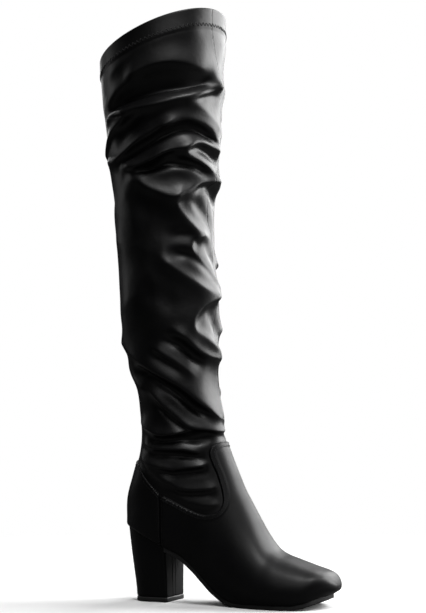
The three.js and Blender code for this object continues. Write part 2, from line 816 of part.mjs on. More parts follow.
// A solid with a plan outline, between two heights
function planPrism(outline, fromZ, toZ) {
  const shape = new THREE.Shape(outline.map(([x, y]) => new THREE.Vector2(x, y)));
  const geometry = new THREE.ExtrudeGeometry(shape, { depth: toZ - fromZ, bevelEnabled: false });
  geometry.translate(0, 0, fromZ);
  return geometrySolid(geometry);
}

function geometrySolid(geometry) {
  geometry.deleteAttribute("normal");
  geometry.deleteAttribute("uv");
  const merged = mergeVertices(geometry, 1e-4);
  const mesh = new wasm.Mesh({
    numProp: 3,
    vertProperties: new Float32Array(merged.attributes.position.array),
    triVerts: new Uint32Array(merged.index.array),
  });
  return new wasm.Manifold(mesh);
}

// A named mesh from a solid, for the scene graph
function meshFrom(solid, name, material) {
  const data = solid.getMesh();
  const geometry = new THREE.BufferGeometry();
  geometry.setAttribute("position", new THREE.BufferAttribute(data.vertProperties, 3));
  geometry.setIndex(new THREE.BufferAttribute(data.triVerts, 1));
  geometry.computeVertexNormals();
  const mesh = new THREE.Mesh(geometry, material);
  mesh.name = name;
  return mesh;
}

const finish = (color, roughness, metalness) =>
  new THREE.MeshStandardMaterial({ color, roughness, metalness });

// Points along the feather line, moved up by a lift. Every piece that meets this line takes
// the same points, so that their facets lie parallel.
const FEATHER_GRID = 0.025;
function featherPoints(lift, fromShare, toShare) {
  const onGrid = (share) => {
    const cell = Math.floor(share / FEATHER_GRID);
    const t = share / FEATHER_GRID - cell;
    const low = featherZ(footX(cell * FEATHER_GRID));
    const high = featherZ(footX((cell + 1) * FEATHER_GRID));
    return [footX(share), low + t * (high - low) + lift];
  };
  const points = [onGrid(fromShare)];
  for (let cell = Math.floor(fromShare / FEATHER_GRID) + 1; cell * FEATHER_GRID < toShare; cell += 1) {
    points.push(onGrid(cell * FEATHER_GRID));
  }
  points.push(onGrid(toShare));
  return points;
}

// Everything under the feather line moved up by a lift
const GROUND_FROM = -0.1;
const GROUND_TO = 1.1;
function groundPrism(lift) {
  const outline = [
    ...featherPoints(lift, GROUND_FROM, GROUND_TO),
    [footX(GROUND_TO), -CUT_REACH],
    [footX(GROUND_FROM), -CUT_REACH],
  ];
  return sidePrism(outline, -CUT_REACH, CUT_REACH);
}

// Plan outline where the skin, at an offset, crosses the feather line moved by a lift
const OUTLINE_STEP = 0.5;
const OUTLINE_FROM = 0.05;
const OUTLINE_TO = FOOT_ROW_COUNT - 4;
const ANGLE_STEP = Math.PI / 80;
function featherOutline(offset, lift) {
  const sides = [[], []];
  const stepAt = (at) => (at < NOSE_SECTIONS - 1 ? OUTLINE_STEP / 2 : OUTLINE_STEP);
  for (let at = OUTLINE_FROM; at < OUTLINE_TO; at += stepAt(at)) {
    [1, -1].forEach((side, index) => {
      let previous = null;
      for (let turned = 0; turned < 0.76 * Math.PI; turned += ANGLE_STEP) {
        const angle = side * (Math.PI - turned);
        const point = offsetPoint(at, angle, offset, false);
        const above = point.z - featherZ(point.x) - lift;
        if (previous && previous.above < 0 && above >= 0) {
          const t = previous.above / (previous.above - above);
          sides[index].push([
            previous.point.x + t * (point.x - previous.point.x),
            previous.point.y + t * (point.y - previous.point.y),
          ]);
          break;
        }
        previous = { point, above };
      }
    });
  }
  return [...sides[0], ...sides[1].reverse()];
}

// Upper: one hollow wall, open at the collar, and underneath where the sole closes it
function makeUpper() {
  const rows = [...footRows, ...shaftRows(shaftZ(1))];
  const hemFrom = shaftZ(1) - HEM_HEIGHT;
  const plain = rows.filter((at) => sectionCurves.topZ(at) < hemFrom - ROW_SPACING / 3);
  const hemRows = [hemFrom - HEM_STEP, hemFrom, shaftZ(1) - HEM_HEIGHT / 2, shaftZ(1)].map(sectionAtRise);
  const all = [...plain, ...hemRows];
  const outer = all.map((at, i) => skinRing(at, i > plain.length ? HEM_STEP : 0, true));
  const inner = all.map((at) => skinRing(at, -WALL, true));
  const tips = [offsetPoint(0, 0, 0, false), offsetPoint(0, 0, -WALL, false)];
  const points = [...tips, ...outer.flat(), ...inner.flat()];
  const faces = [];
  const outerStart = tips.length;
  const innerStart = outerStart + all.length * COLUMNS;
  capRing(faces, outerStart, 0, COLUMNS, true);
  capRing(faces, innerStart, 1, COLUMNS, false);
  for (let row = 0; row < all.length - 1; row += 1) {
    joinRings(faces, outerStart + row * COLUMNS, outerStart + (row + 1) * COLUMNS, COLUMNS);
    joinRings(faces, innerStart + (row + 1) * COLUMNS, innerStart + row * COLUMNS, COLUMNS);
  }
  const lastRow = (all.length - 1) * COLUMNS;
  joinRings(faces, outerStart + lastRow, innerStart + lastRow, COLUMNS);
  return solidFrom(points, faces).subtract(groundPrism(GAP));
}

// Panels: the layer just outside the skin, inside side-view outlines on each side
const PANEL_TOP = 0.09;
const panelTop = shaftZ(PANEL_TOP);
const zipTop = footZ(zipHigh) + FOLD_FULL;
const ground = groundPrism(GAP);
const layer = (from, to, height) => formSolid(to, height).subtract(formSolid(from, height));
const panelLayer = layer(GAP, GAP + PANEL_THICKNESS, panelTop).subtract(ground);
const chainLayer = layer(GAP, GAP + CHAIN_THICKNESS, zipTop).subtract(ground);

const outerSide = (outline) => sidePrism(outline, -CUT_REACH, 0);
const innerSide = (outline) => sidePrism(outline, 0, CUT_REACH);

const makeVamp = () =>
  panelLayer.intersect(outerSide(panelOutlines.vampOuter).add(innerSide(panelOutlines.vampInner)));
const makeCounter = () =>
  panelLayer.intersect(outerSide(panelOutlines.counterOuter).add(innerSide(panelOutlines.counterInner)));
const makeFacing = () =>
  layer(GAP, GAP + PANEL_THICKNESS, zipTop).intersect(innerSide(panelOutlines.facing));
const makeChain = () => chainLayer.intersect(innerSide(panelOutlines.chain));

// Outsole: from the breast of the heel to the toe, with its arch and toe spring
function makeOutsole() {
  const from = HEEL_SECTIONS[2].front + GAP / FOOT_LENGTH;
  const top = featherPoints(0, from, 1);
  const under = top.map(([x]) => [x, undersideZ(x)]).reverse();
  return sidePrism([...top, ...under], -CUT_REACH, CUT_REACH)
    .intersect(planPrism(featherOutline(SOLE_MARGIN, 0), -CUT_REACH, CUT_REACH));
}

// Insole: the board that closes the foot from below
const INSOLE_FROM = -0.02;
const INSOLE_TO = 0.99;
function makeInsole() {
  const low = featherPoints(GAP, INSOLE_FROM, INSOLE_TO);
  const high = featherPoints(GAP + INSOLE_THICKNESS, INSOLE_FROM, INSOLE_TO).reverse();
  return sidePrism([...low, ...high], -CUT_REACH, CUT_REACH)
    .intersect(planPrism(featherOutline(-WALL - INSOLE_INSET, GAP), -CUT_REACH, CUT_REACH));
}

// One ring of the heel: straight breast, round back
function heelRing(rise, z, margin) {
  const value = (name) => curveThrough(
    HEEL_SECTIONS.map((row) => row.rise),
    HEEL_SECTIONS.map((row) => row[name]),
    false,
  )(rise);
  const back = footX(value("back")) - margin;
  const front = footX(value("front")) + margin;
  const half = value("half") * BALL_WIDTH + margin;
  const turn = footX(HEEL_ROUND_FROM);
  const steps = Math.round(HEEL_ARC_STEPS);
  const ring = [];
  for (let i = 0; i <= steps; i += 1) {
    const angle = -Math.PI / 2 + (Math.PI * i) / steps;
    ring.push(new THREE.Vector3(
      turn - (turn - back) * roundPower(Math.cos(angle), HEEL_POWER),
      half * roundPower(Math.sin(angle), HEEL_POWER),
      z,
    ));
  }
  ring.push(new THREE.Vector3(front - HEEL_CORNER, half, z));
  ring.push(new THREE.Vector3(front, half - HEEL_CORNER, z));
  ring.push(new THREE.Vector3(front, -half + HEEL_CORNER, z));
  ring.push(new THREE.Vector3(front - HEEL_CORNER, -half, z));
  return ring;
}

function makeHeelBlock() {
  const low = (TOP_PIECE_THICKNESS + GAP) / ANKLE_HEIGHT;
  const rings = [low, ...HEEL_RINGS].map((rise) => heelRing(rise, footZ(rise), 0));
  return loftSolid(rings).intersect(groundPrism(0));
}

function makeTopPiece() {
  const edge = TOP_PIECE_BEVEL;
  const rise = TOP_PIECE_THICKNESS / ANKLE_HEIGHT;
  return loftSolid([
    heelRing(0, 0, TOP_PIECE_MARGIN - edge),
    heelRing(0, edge, TOP_PIECE_MARGIN),
    heelRing(rise, TOP_PIECE_THICKNESS - edge / 2, TOP_PIECE_MARGIN),
    heelRing(rise, TOP_PIECE_THICKNESS, TOP_PIECE_MARGIN - edge / 2),
  ]);
}

function boxSolid(width, depth, height, x, y, z) {
  const geometry = new THREE.BoxGeometry(width, depth, height);
  geometry.translate(x, y, z);
  return geometrySolid(geometry);
}

function rodSolid(radius, length, y, z, sides) {
  const geometry = new THREE.CylinderGeometry(radius, radius, length, sides);
  geometry.rotateZ(Math.PI / 2);
  geometry.translate(0, y, z);
  return geometrySolid(geometry);
}

// Slider: a plate over the chain with two ears and the pin that carries the tab
const EAR_REACH = SLIDER_DEPTH + EAR_RADIUS + EAR_LIFT;
const EAR_HEIGHT = SLIDER_HEIGHT * EAR_RISE;
function makeSlider() {
  let slider = boxSolid(SLIDER_WIDTH, SLIDER_DEPTH, SLIDER_HEIGHT, 0, SLIDER_DEPTH / 2, 0);
  for (const side of [-1, 1]) {
    const ear = boxSolid(EAR_WIDTH, EAR_REACH, 2 * EAR_RADIUS, side * EAR_SPREAD, EAR_REACH / 2, EAR_HEIGHT);
    slider = slider.add(ear);
    const head = rodSolid(EAR_RADIUS, EAR_WIDTH, EAR_REACH, EAR_HEIGHT, ROUND_SIDES);
    slider = slider.add(head.translate([side * EAR_SPREAD, 0, 0]));
  }
  return slider.add(rodSolid(PIN_RADIUS, 2 * EAR_SPREAD, EAR_REACH, EAR_HEIGHT, ROUND_SIDES));
}

// Pull tab: an eye round the pin and a blade below it
function makeTab() {
  const eye = rodSolid(EYE_RADIUS, EYE_WIDTH, 0, 0, EYE_SIDES);
  const bore = rodSolid(EYE_BORE, 2 * EYE_WIDTH, 0, 0, EYE_SIDES);
  const neck = boxSolid(EYE_WIDTH, TAB_THICKNESS, NECK_LENGTH, 0, 0, -EYE_RADIUS - 2 * TAB_DROP);
  const shape = new THREE.Shape();
  const half = TAB_WIDTH / 2;
  shape.moveTo(-EYE_WIDTH / 2, 0);
  shape.lineTo(EYE_WIDTH / 2, 0);
  shape.lineTo(half, -TAB_SHOULDER);
  shape.lineTo(half, -TAB_LENGTH + half);
  shape.absarc(0, -TAB_LENGTH + half, half, 0, -Math.PI, true);
  shape.lineTo(-half, -TAB_SHOULDER);
  shape.closePath();
  const geometry = new THREE.ExtrudeGeometry(shape, {
    depth: TAB_THICKNESS,
    bevelEnabled: false,
    curveSegments: ROUND_SIDES / 2,
  });
  geometry.rotateX(Math.PI / 2);
  geometry.translate(0, TAB_THICKNESS / 2, -EYE_RADIUS - TAB_DROP);
  return eye.add(neck).add(geometrySolid(geometry)).subtract(bore);
}

// How far the inner side of the bare skin lies from the middle at a place in side view
function innerSkinY(x, z) {
  const at = sectionAtRise(z);
  let best = skinPoint(at, 1.5 * Math.PI, false);
  for (let angle = 1.2 * Math.PI; angle < 1.8 * Math.PI; angle += ANGLE_STEP / 8) {
    const point = skinPoint(at, angle, false);
    if (Math.abs(point.x - x) < Math.abs(best.x - x)) {
      best = point;
    }
  }
  return best.y;
}

// Where the slider sits: on the chain, at its height
const sliderZ = footZ(SLIDER_AT);
const sliderHigh = sliderZ + SLIDER_HEIGHT / 2;
const sliderY = innerSkinY(zipX(sliderHigh), sliderHigh) + GAP + CHAIN_THICKNESS + GAP;

const leather = finish("#121214", 0.38, 0.0);
const lining = finish("#1d1c1e", 0.8, 0.0);
const rubber = finish("#0c0c0d", 0.6, 0.0);
const teeth = finish("#18181a", 0.45, 0.0);
const metal = finish("#8d8f94", 0.3, 1.0);

const boot = new THREE.Group();
boot.add(meshFrom(makeUpper(), "upper", leather));
boot.add(meshFrom(makeVamp(), "vamp", leather));
boot.add(meshFrom(makeCounter(), "heel_counter", leather));
boot.add(meshFrom(makeFacing(), "zip_facing", leather));
boot.add(meshFrom(makeChain(), "zip_chain", teeth));
boot.add(meshFrom(makeInsole(), "insole", lining));
boot.add(meshFrom(makeOutsole(), "outsole", rubber));
boot.add(meshFrom(makeHeelBlock(), "heel_block", leather));
boot.add(meshFrom(makeTopPiece(), "heel_top_piece", rubber));

const slider = meshFrom(makeSlider(), "zip_slider", metal);
slider.position.set(zipX(sliderZ), sliderY, sliderZ);
boot.add(slider);

const pullTab = meshFrom(makeTab(), "zip_pull_tab", metal);
pullTab.position.set(zipX(sliderZ), sliderY + EAR_REACH, sliderZ + EAR_HEIGHT);
boot.add(pullTab);

export default boot;
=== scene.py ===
"""Looks of a right thigh-high boot with a slouchy shaft and a wrapped block heel.

Metres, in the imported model's frame: +X to the toe, +Y to the inner side, +Z up, with the
origin in the middle of the heel's tread.
"""

import math

import bmesh
import bpy
import numpy as np
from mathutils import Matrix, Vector


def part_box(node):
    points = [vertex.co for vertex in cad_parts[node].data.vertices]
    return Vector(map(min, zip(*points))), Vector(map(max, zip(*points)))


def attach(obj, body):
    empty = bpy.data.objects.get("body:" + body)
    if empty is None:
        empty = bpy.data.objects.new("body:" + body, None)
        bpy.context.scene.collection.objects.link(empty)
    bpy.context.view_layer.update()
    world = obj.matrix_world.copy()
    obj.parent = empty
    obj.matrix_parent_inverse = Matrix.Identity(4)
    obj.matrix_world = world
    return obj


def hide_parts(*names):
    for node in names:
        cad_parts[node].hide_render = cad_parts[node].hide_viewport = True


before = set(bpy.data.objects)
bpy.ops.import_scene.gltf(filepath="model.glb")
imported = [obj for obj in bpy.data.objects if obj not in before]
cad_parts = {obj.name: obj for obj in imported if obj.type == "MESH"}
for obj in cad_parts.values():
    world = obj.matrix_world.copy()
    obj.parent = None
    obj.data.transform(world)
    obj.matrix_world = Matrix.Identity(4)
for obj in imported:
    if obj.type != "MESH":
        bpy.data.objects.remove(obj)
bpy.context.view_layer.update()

# Driving sizes, as in the part's source
FOOT_LENGTH = 0.241
BALL_WIDTH = 0.090
ANKLE_HEIGHT = 0.174
SHAFT_HEIGHT = 0.454
COLLAR_DEPTH = 0.144
COLLAR_WIDTH = 0.134
HEM_HEIGHT = 0.020

# Thicknesses
WALL = 0.0016
PANEL_THICKNESS = 0.0012
PANEL_LIFT = 0.00035
PANEL_HEIGHT = PANEL_LIFT + PANEL_THICKNESS
PANEL_ROUNDING = 0.0011
PANEL_BACK = 0.0004
HEM_STEP = 0.0008
HEM_RAMP = 0.0007
HEM_TURN = 0.0006
SOLE_THICKNESS = 0.0048
SOLE_MARGIN = 0.0010
TOP_PIECE_THICKNESS = 0.0050

# Shape of the nose and place of the heel's middle, as shares of the foot length
NOSE_DEPTH_SHARE = 0.05
NOSE_WIDTH_SHARE = 0.158
NOSE_DEPTH_POWER = 2.2
NOSE_WIDTH_POWER = 2.5
TOE_SECTIONS = 5
HEEL_OVERHANG = 0.145

# Sections of the foot: top x and z, bottom x and z, outer and inner half widths, the power
# that squares the section, and the drop of its widest place. x are shares of the foot
# length, z of the ankle height, widths of the ball width.
FOOT_SECTIONS = np.array([
    (1.002, 0.166, 1.002, 0.090, 0.336, 0.336, 2.50, 0.00),
    (0.975, 0.198, 0.975, 0.088, 0.363, 0.366, 2.60, 0.00),
    (0.934, 0.220, 0.934, 0.045, 0.404, 0.405, 2.60, 0.03),
    (0.884, 0.243, 0.884, -0.040, 0.450, 0.439, 2.45, 0.10),
    (0.809, 0.279, 0.809, -0.069, 0.500, 0.472, 2.30, 0.14),
    (0.755, 0.305, 0.739, -0.069, 0.517, 0.483, 2.30, 0.15),
    (0.712, 0.345, 0.660, -0.069, 0.508, 0.467, 2.25, 0.17),
    (0.670, 0.425, 0.573, -0.057, 0.478, 0.422, 2.20, 0.19),
    (0.633, 0.517, 0.494, 0.000, 0.439, 0.383, 2.15, 0.20),
    (0.589, 0.626, 0.411, 0.069, 0.406, 0.366, 2.20, 0.18),
    (0.556, 0.707, 0.315, 0.167, 0.385, 0.360, 2.30, 0.16),
    (0.529, 0.793, 0.208, 0.224, 0.374, 0.357, 2.40, 0.14),
    (0.506, 0.868, 0.090, 0.276, 0.372, 0.360, 2.45, 0.10),
    (0.488, 0.931, 0.012, 0.368, 0.374, 0.367, 2.40, 0.05),
    (0.473, 0.983, 0.002, 0.517, 0.380, 0.378, 2.30, 0.02),
    (0.463, 1.029, 0.003, 0.638, 0.390, 0.390, 2.20, 0.00),
    (0.452, 1.080, 0.029, 0.770, 0.405, 0.405, 2.10, 0.00),
    (0.444, 1.132, 0.058, 0.902, 0.420, 0.420, 2.10, 0.00),
    (0.436, 1.195, 0.071, 1.046, 0.432, 0.432, 2.10, 0.00),
    (0.425, 1.287, 0.062, 1.207, 0.442, 0.442, 2.10, 0.00),
])

# Level sections of the shaft: rise, a share of the shaft height above the ankle; centre, of
# the foot length; depth and width, of the collar's.
SHAFT_SECTIONS = np.array([
    (0.156, 0.230, 0.639, 0.642),
    (0.211, 0.218, 0.688, 0.687),
    (0.273, 0.203, 0.743, 0.739),
    (0.344, 0.191, 0.771, 0.769),
    (0.423, 0.180, 0.768, 0.765),
    (0.498, 0.172, 0.768, 0.768),
    (0.573, 0.166, 0.789, 0.784),
    (0.652, 0.163, 0.840, 0.836),
    (0.718, 0.162, 0.882, 0.881),
    (0.795, 0.160, 0.917, 0.914),
    (0.872, 0.158, 0.958, 0.955),
    (0.938, 0.155, 0.986, 0.985),
    (1.000, 0.153, 1.000, 1.000),
])
SHAFT_POWER = 2.05
COLLAR_SLOPE = 0.37
COLLAR_SLOPE_FROM = 0.62

# The feather line, where the uppers meet the sole
FEATHER_RISE = np.array([
    (-0.030, 0.482), (0.004, 0.457), (0.062, 0.423), (0.145, 0.367), (0.220, 0.318),
    (0.270, 0.290), (0.311, 0.262), (0.373, 0.193), (0.419, 0.130), (0.469, 0.063),
    (0.527, 0.013), (0.575, 0.000), (0.830, 0.000), (0.884, 0.013), (0.9375, 0.042),
    (1.010, 0.075),
])

# Heel block: rise, a share of the ankle height; back and front, of the foot length; half
# width, of the ball width
HEEL_SECTIONS = np.array([
    (0.000, 0.0554, 0.2280, 0.256),
    (0.103, 0.0475, 0.2267, 0.262),
    (0.293, 0.0270, 0.2230, 0.292),
    (0.483, 0.0110, 0.2195, 0.325),
    (0.570, 0.0050, 0.2190, 0.336),
])
HEEL_ROUND_FROM = 0.15
HEEL_POWER = 2.7
HEEL_CORNER = 0.0022
HEEL_ROUNDING = 0.0007
BREAST_SEAMS = (-0.0066, 0.0006)
BREAST_SEAM_WIDTH = 0.00035
BREAST_SEAM_DEPTH = 0.0005
TREAD_MARGIN = 0.0005
TREAD_ROUNDING = 0.0008
SOLE_ROUNDING = 0.0007
SOLE_GAP = 0.0001

# Side views of the panels' upper edges: shares of the foot length and of the ankle height.
# BEHIND and AHEAD lie past the heel and the toe, DEEP below the sole.
BEHIND = -0.3
AHEAD = 1.6
DEEP = -0.3
SIDE_SEAM = 0.2145
SEAM_HALF_GAP = 0.0002
COUNTER_TOP_OUTER = [
    (BEHIND, 0.9), (0.054, 0.885), (0.09, 0.853), (0.158, 0.747), (SIDE_SEAM, 0.67),
]
COUNTER_TOP_INNER = [
    (BEHIND, 0.9), (0.054, 0.885), (0.09, 0.853), (0.135, 0.79), (0.172, 0.747),
]
VAMP_TOP_OUTER = [
    (SIDE_SEAM, 0.67), (0.278, 0.63), (0.357, 0.578), (0.423, 0.549), (0.477, 0.558),
    (0.502, 0.598), (0.5, 0.667), (0.473, 0.776), (0.446, 0.859), (0.431, 0.914),
    (0.436, 0.957), (0.461, 0.991), (0.5, 1.012), (AHEAD, 1.02),
]
VAMP_TOP_INNER = [
    (0.232, 0.618), (0.294, 0.616), (0.315, 0.59), (0.345, 0.573), (0.385, 0.572),
    (0.42, 0.585), (0.445, 0.616), (0.453, 0.68), (0.45, 0.776), (0.436, 0.859),
    (0.43, 0.914), (0.436, 0.957), (0.461, 0.991), (0.5, 1.012), (AHEAD, 1.02),
]

# The zip on the inner side
ZIP_LINE = np.array([
    (0.243, 0.375), (0.222, 0.46), (0.204, 0.56), (0.196, 0.66), (0.207, 0.81),
    (0.232, 0.97), (0.232, 1.15), (0.216, 1.4), (0.2, 1.72), (0.193, 2.02),
])
CHAIN_HALF_WIDTH = 0.004
TAPE_GAP = 0.0022
FACING_WIDTH = 0.015
FACING_FROM = 0.622
FACING_TO = 1.97
TAPE_EDGE = CHAIN_HALF_WIDTH + TAPE_GAP
LIP_HALF = 0.0021
STRIP_BACK = 0.0003
STRIP_END = 0.15
TAPE_OVERLAP = 0.0012
TAPE_PROFILE = (
    (-1.0, 0.0004), (-0.5, 0.00055), (-0.2, 0.0009), (0.2, 0.0009), (0.5, 0.00055),
    (1.0, 0.0004),
)
LIP_PROFILE = (
    (-1.0, 0.0001), (-0.85, 0.0009), (-0.3, 0.00125), (0.4, 0.0013), (0.85, 0.001),
    (1.0, 0.0001),
)
TOOTH_PITCH = 0.00125
TOOTH_LENGTH = 0.0031
TOOTH_RADIUS = 0.00052
TOOTH_HEIGHT = 0.00135
TOOTH_ASIDE = 0.00105

# The slider with its ears and pin, the pull tab with its eye, and the stops
SLIDER_DEPTH = 0.0032
SLIDER_HALF_WIDTH = 0.0045
SLIDER_TAPER = 0.0009
SLIDER_HALF_LENGTH = 0.006
EAR_ASIDE = 0.0029
EAR_HALF_REACH = 0.0036
EAR_OVER_PIN = 0.0017
EAR_FOOT = 0.0026
EAR_PAST_FOOT = 0.15
EAR_HALF_WIDTH = 0.00065
EAR_HALF_DEPTH = 0.0009
PIN_CENTRE = (0.01215, 0.05979, 0.333)
PIN_RADIUS = 0.0008
PIN_HALF_LENGTH = 0.0030
EYE_RADIUS = 0.0015
EYE_HALF_WIDTH = 0.0017
EYE_WIRE = 0.0004
TAB_LENGTH = 0.0216
TAB_WIDTH = 0.0064
TAB_HALF_THICKNESS = 0.0006
TAB_DROP = 0.0016
TAB_SUNK = 0.00025
STOP_HALF_LENGTH = 0.0014
STOP_HALF_WIDTH = 0.0030
STOP_HALF_DEPTH = 0.0010
STOP_LIFT = 0.0014

# The grids of shaft and lining: columns, first section, spacing of the rows, and the gap they
# keep over the feather line
SHAFT_COLUMNS = 216
SHAFT_FIRST = 8.2
SHAFT_SPACING = 0.0017
SHAFT_GAP = 0.0006
LINING_COLUMNS = 160
LINING_FIRST = 0.02
LINING_SPACING = 0.0026
LINING_GAP = 0.0008
LINING_SLACK = 0.0006

# Cutting the panels: a distance that stands for off the panel, the longest step of a corner,
# the least depth of one inside, the share of the thickness at the sole and how far up it
# grows to the whole, the raised band along the vamp's edge, and where its edge turns over
# the tab
FAR_OFF = 0.05
LONGEST_SLIDE = 0.0015
LEAST_DEPTH = 0.0002
SHARE_AT_SOLE = 0.8
WHOLE_ABOVE_SOLE = 0.0015
EDGE_BAND = 0.0062
EDGE_BAND_RISE = 0.0004
TONGUE_FROM = 0.957

# Stitches of the seams, those of the hem's zigzag with how far its rows lie above the hem's
# lower edge, and the pressed seams of the shaft
STITCH_PITCH = 0.0029
STITCH_LENGTH = 0.0021
STITCH_RADIUS = 0.00026
STITCH_HEIGHT = PANEL_HEIGHT + 0.00008
VAMP_ROWS = (0.0016, 0.0048)
COUNTER_ROWS = (0.0019, 0.0046)
SEAM_MARGIN = 0.0019
ZIP_MARGIN = 0.0022
FACING_MARGIN = 0.0020
LIP_STITCH_HEIGHT = 0.0014
ZIGZAG_PITCH = 0.0025
ZIGZAG_LENGTH = 0.0050
ZIGZAG_RADIUS = 0.00036
ZIGZAG_ALONG = 0.50
ZIGZAG_ACROSS = 0.87
ZIGZAG_LIFT = 0.00012
ZIGZAG_OUTSIDE = 0.0033
ZIGZAG_INSIDE = 0.0040
SEAM_REACH = 0.0011
SEAM_DEPTH = 0.0009

# The floor and where it fades out, the camera, and the lights: name, azimuth, elevation,
# distance, width, height and power
FLOOR_HALF = 3
FLOOR_FADE = (0.45, 1.15)
CAMERA_AZIMUTH = 25.0
CAMERA_DISTANCE = 1.5
CAMERA_HEIGHT = 0.170
CAMERA_LENS = 78.5
CAMERA_TARGET = (0.054, 0.025, 0.325)
LIGHT_TARGET = (0.03, 0.0, 0.32)
LIGHTS = (
    ("key", 127, 24, 1.9, 1.2, 1.6, 72),
    ("top", 48, 64, 2.1, 0.8, 0.8, 34),
    ("front", 22, 36, 2.6, 1.6, 1.0, 7),
    ("rim", 166, 26, 2.1, 1.0, 1.6, 34),
    ("fill", -92, 20, 2.4, 0.8, 1.6, 4),
    ("rear", 225, 35, 2.2, 0.8, 1.4, 9),
)

# The front seam: height above the ankle, a share of the shaft height, and its angle from the
# toe, a share of a half turn
FRONT_SEAM = np.array([
    (1.015, -0.090), (0.954, -0.062), (0.890, -0.017), (0.844, 0.033), (0.786, 0.042),
    (0.718, 0.030), (0.630, -0.040), (0.564, -0.045), (0.502, 0.000), (0.421, 0.033),
    (0.341, 0.011), (0.233, -0.011), (0.123, 0.022), (0.009, 0.017), (-0.06, 0.010),
])

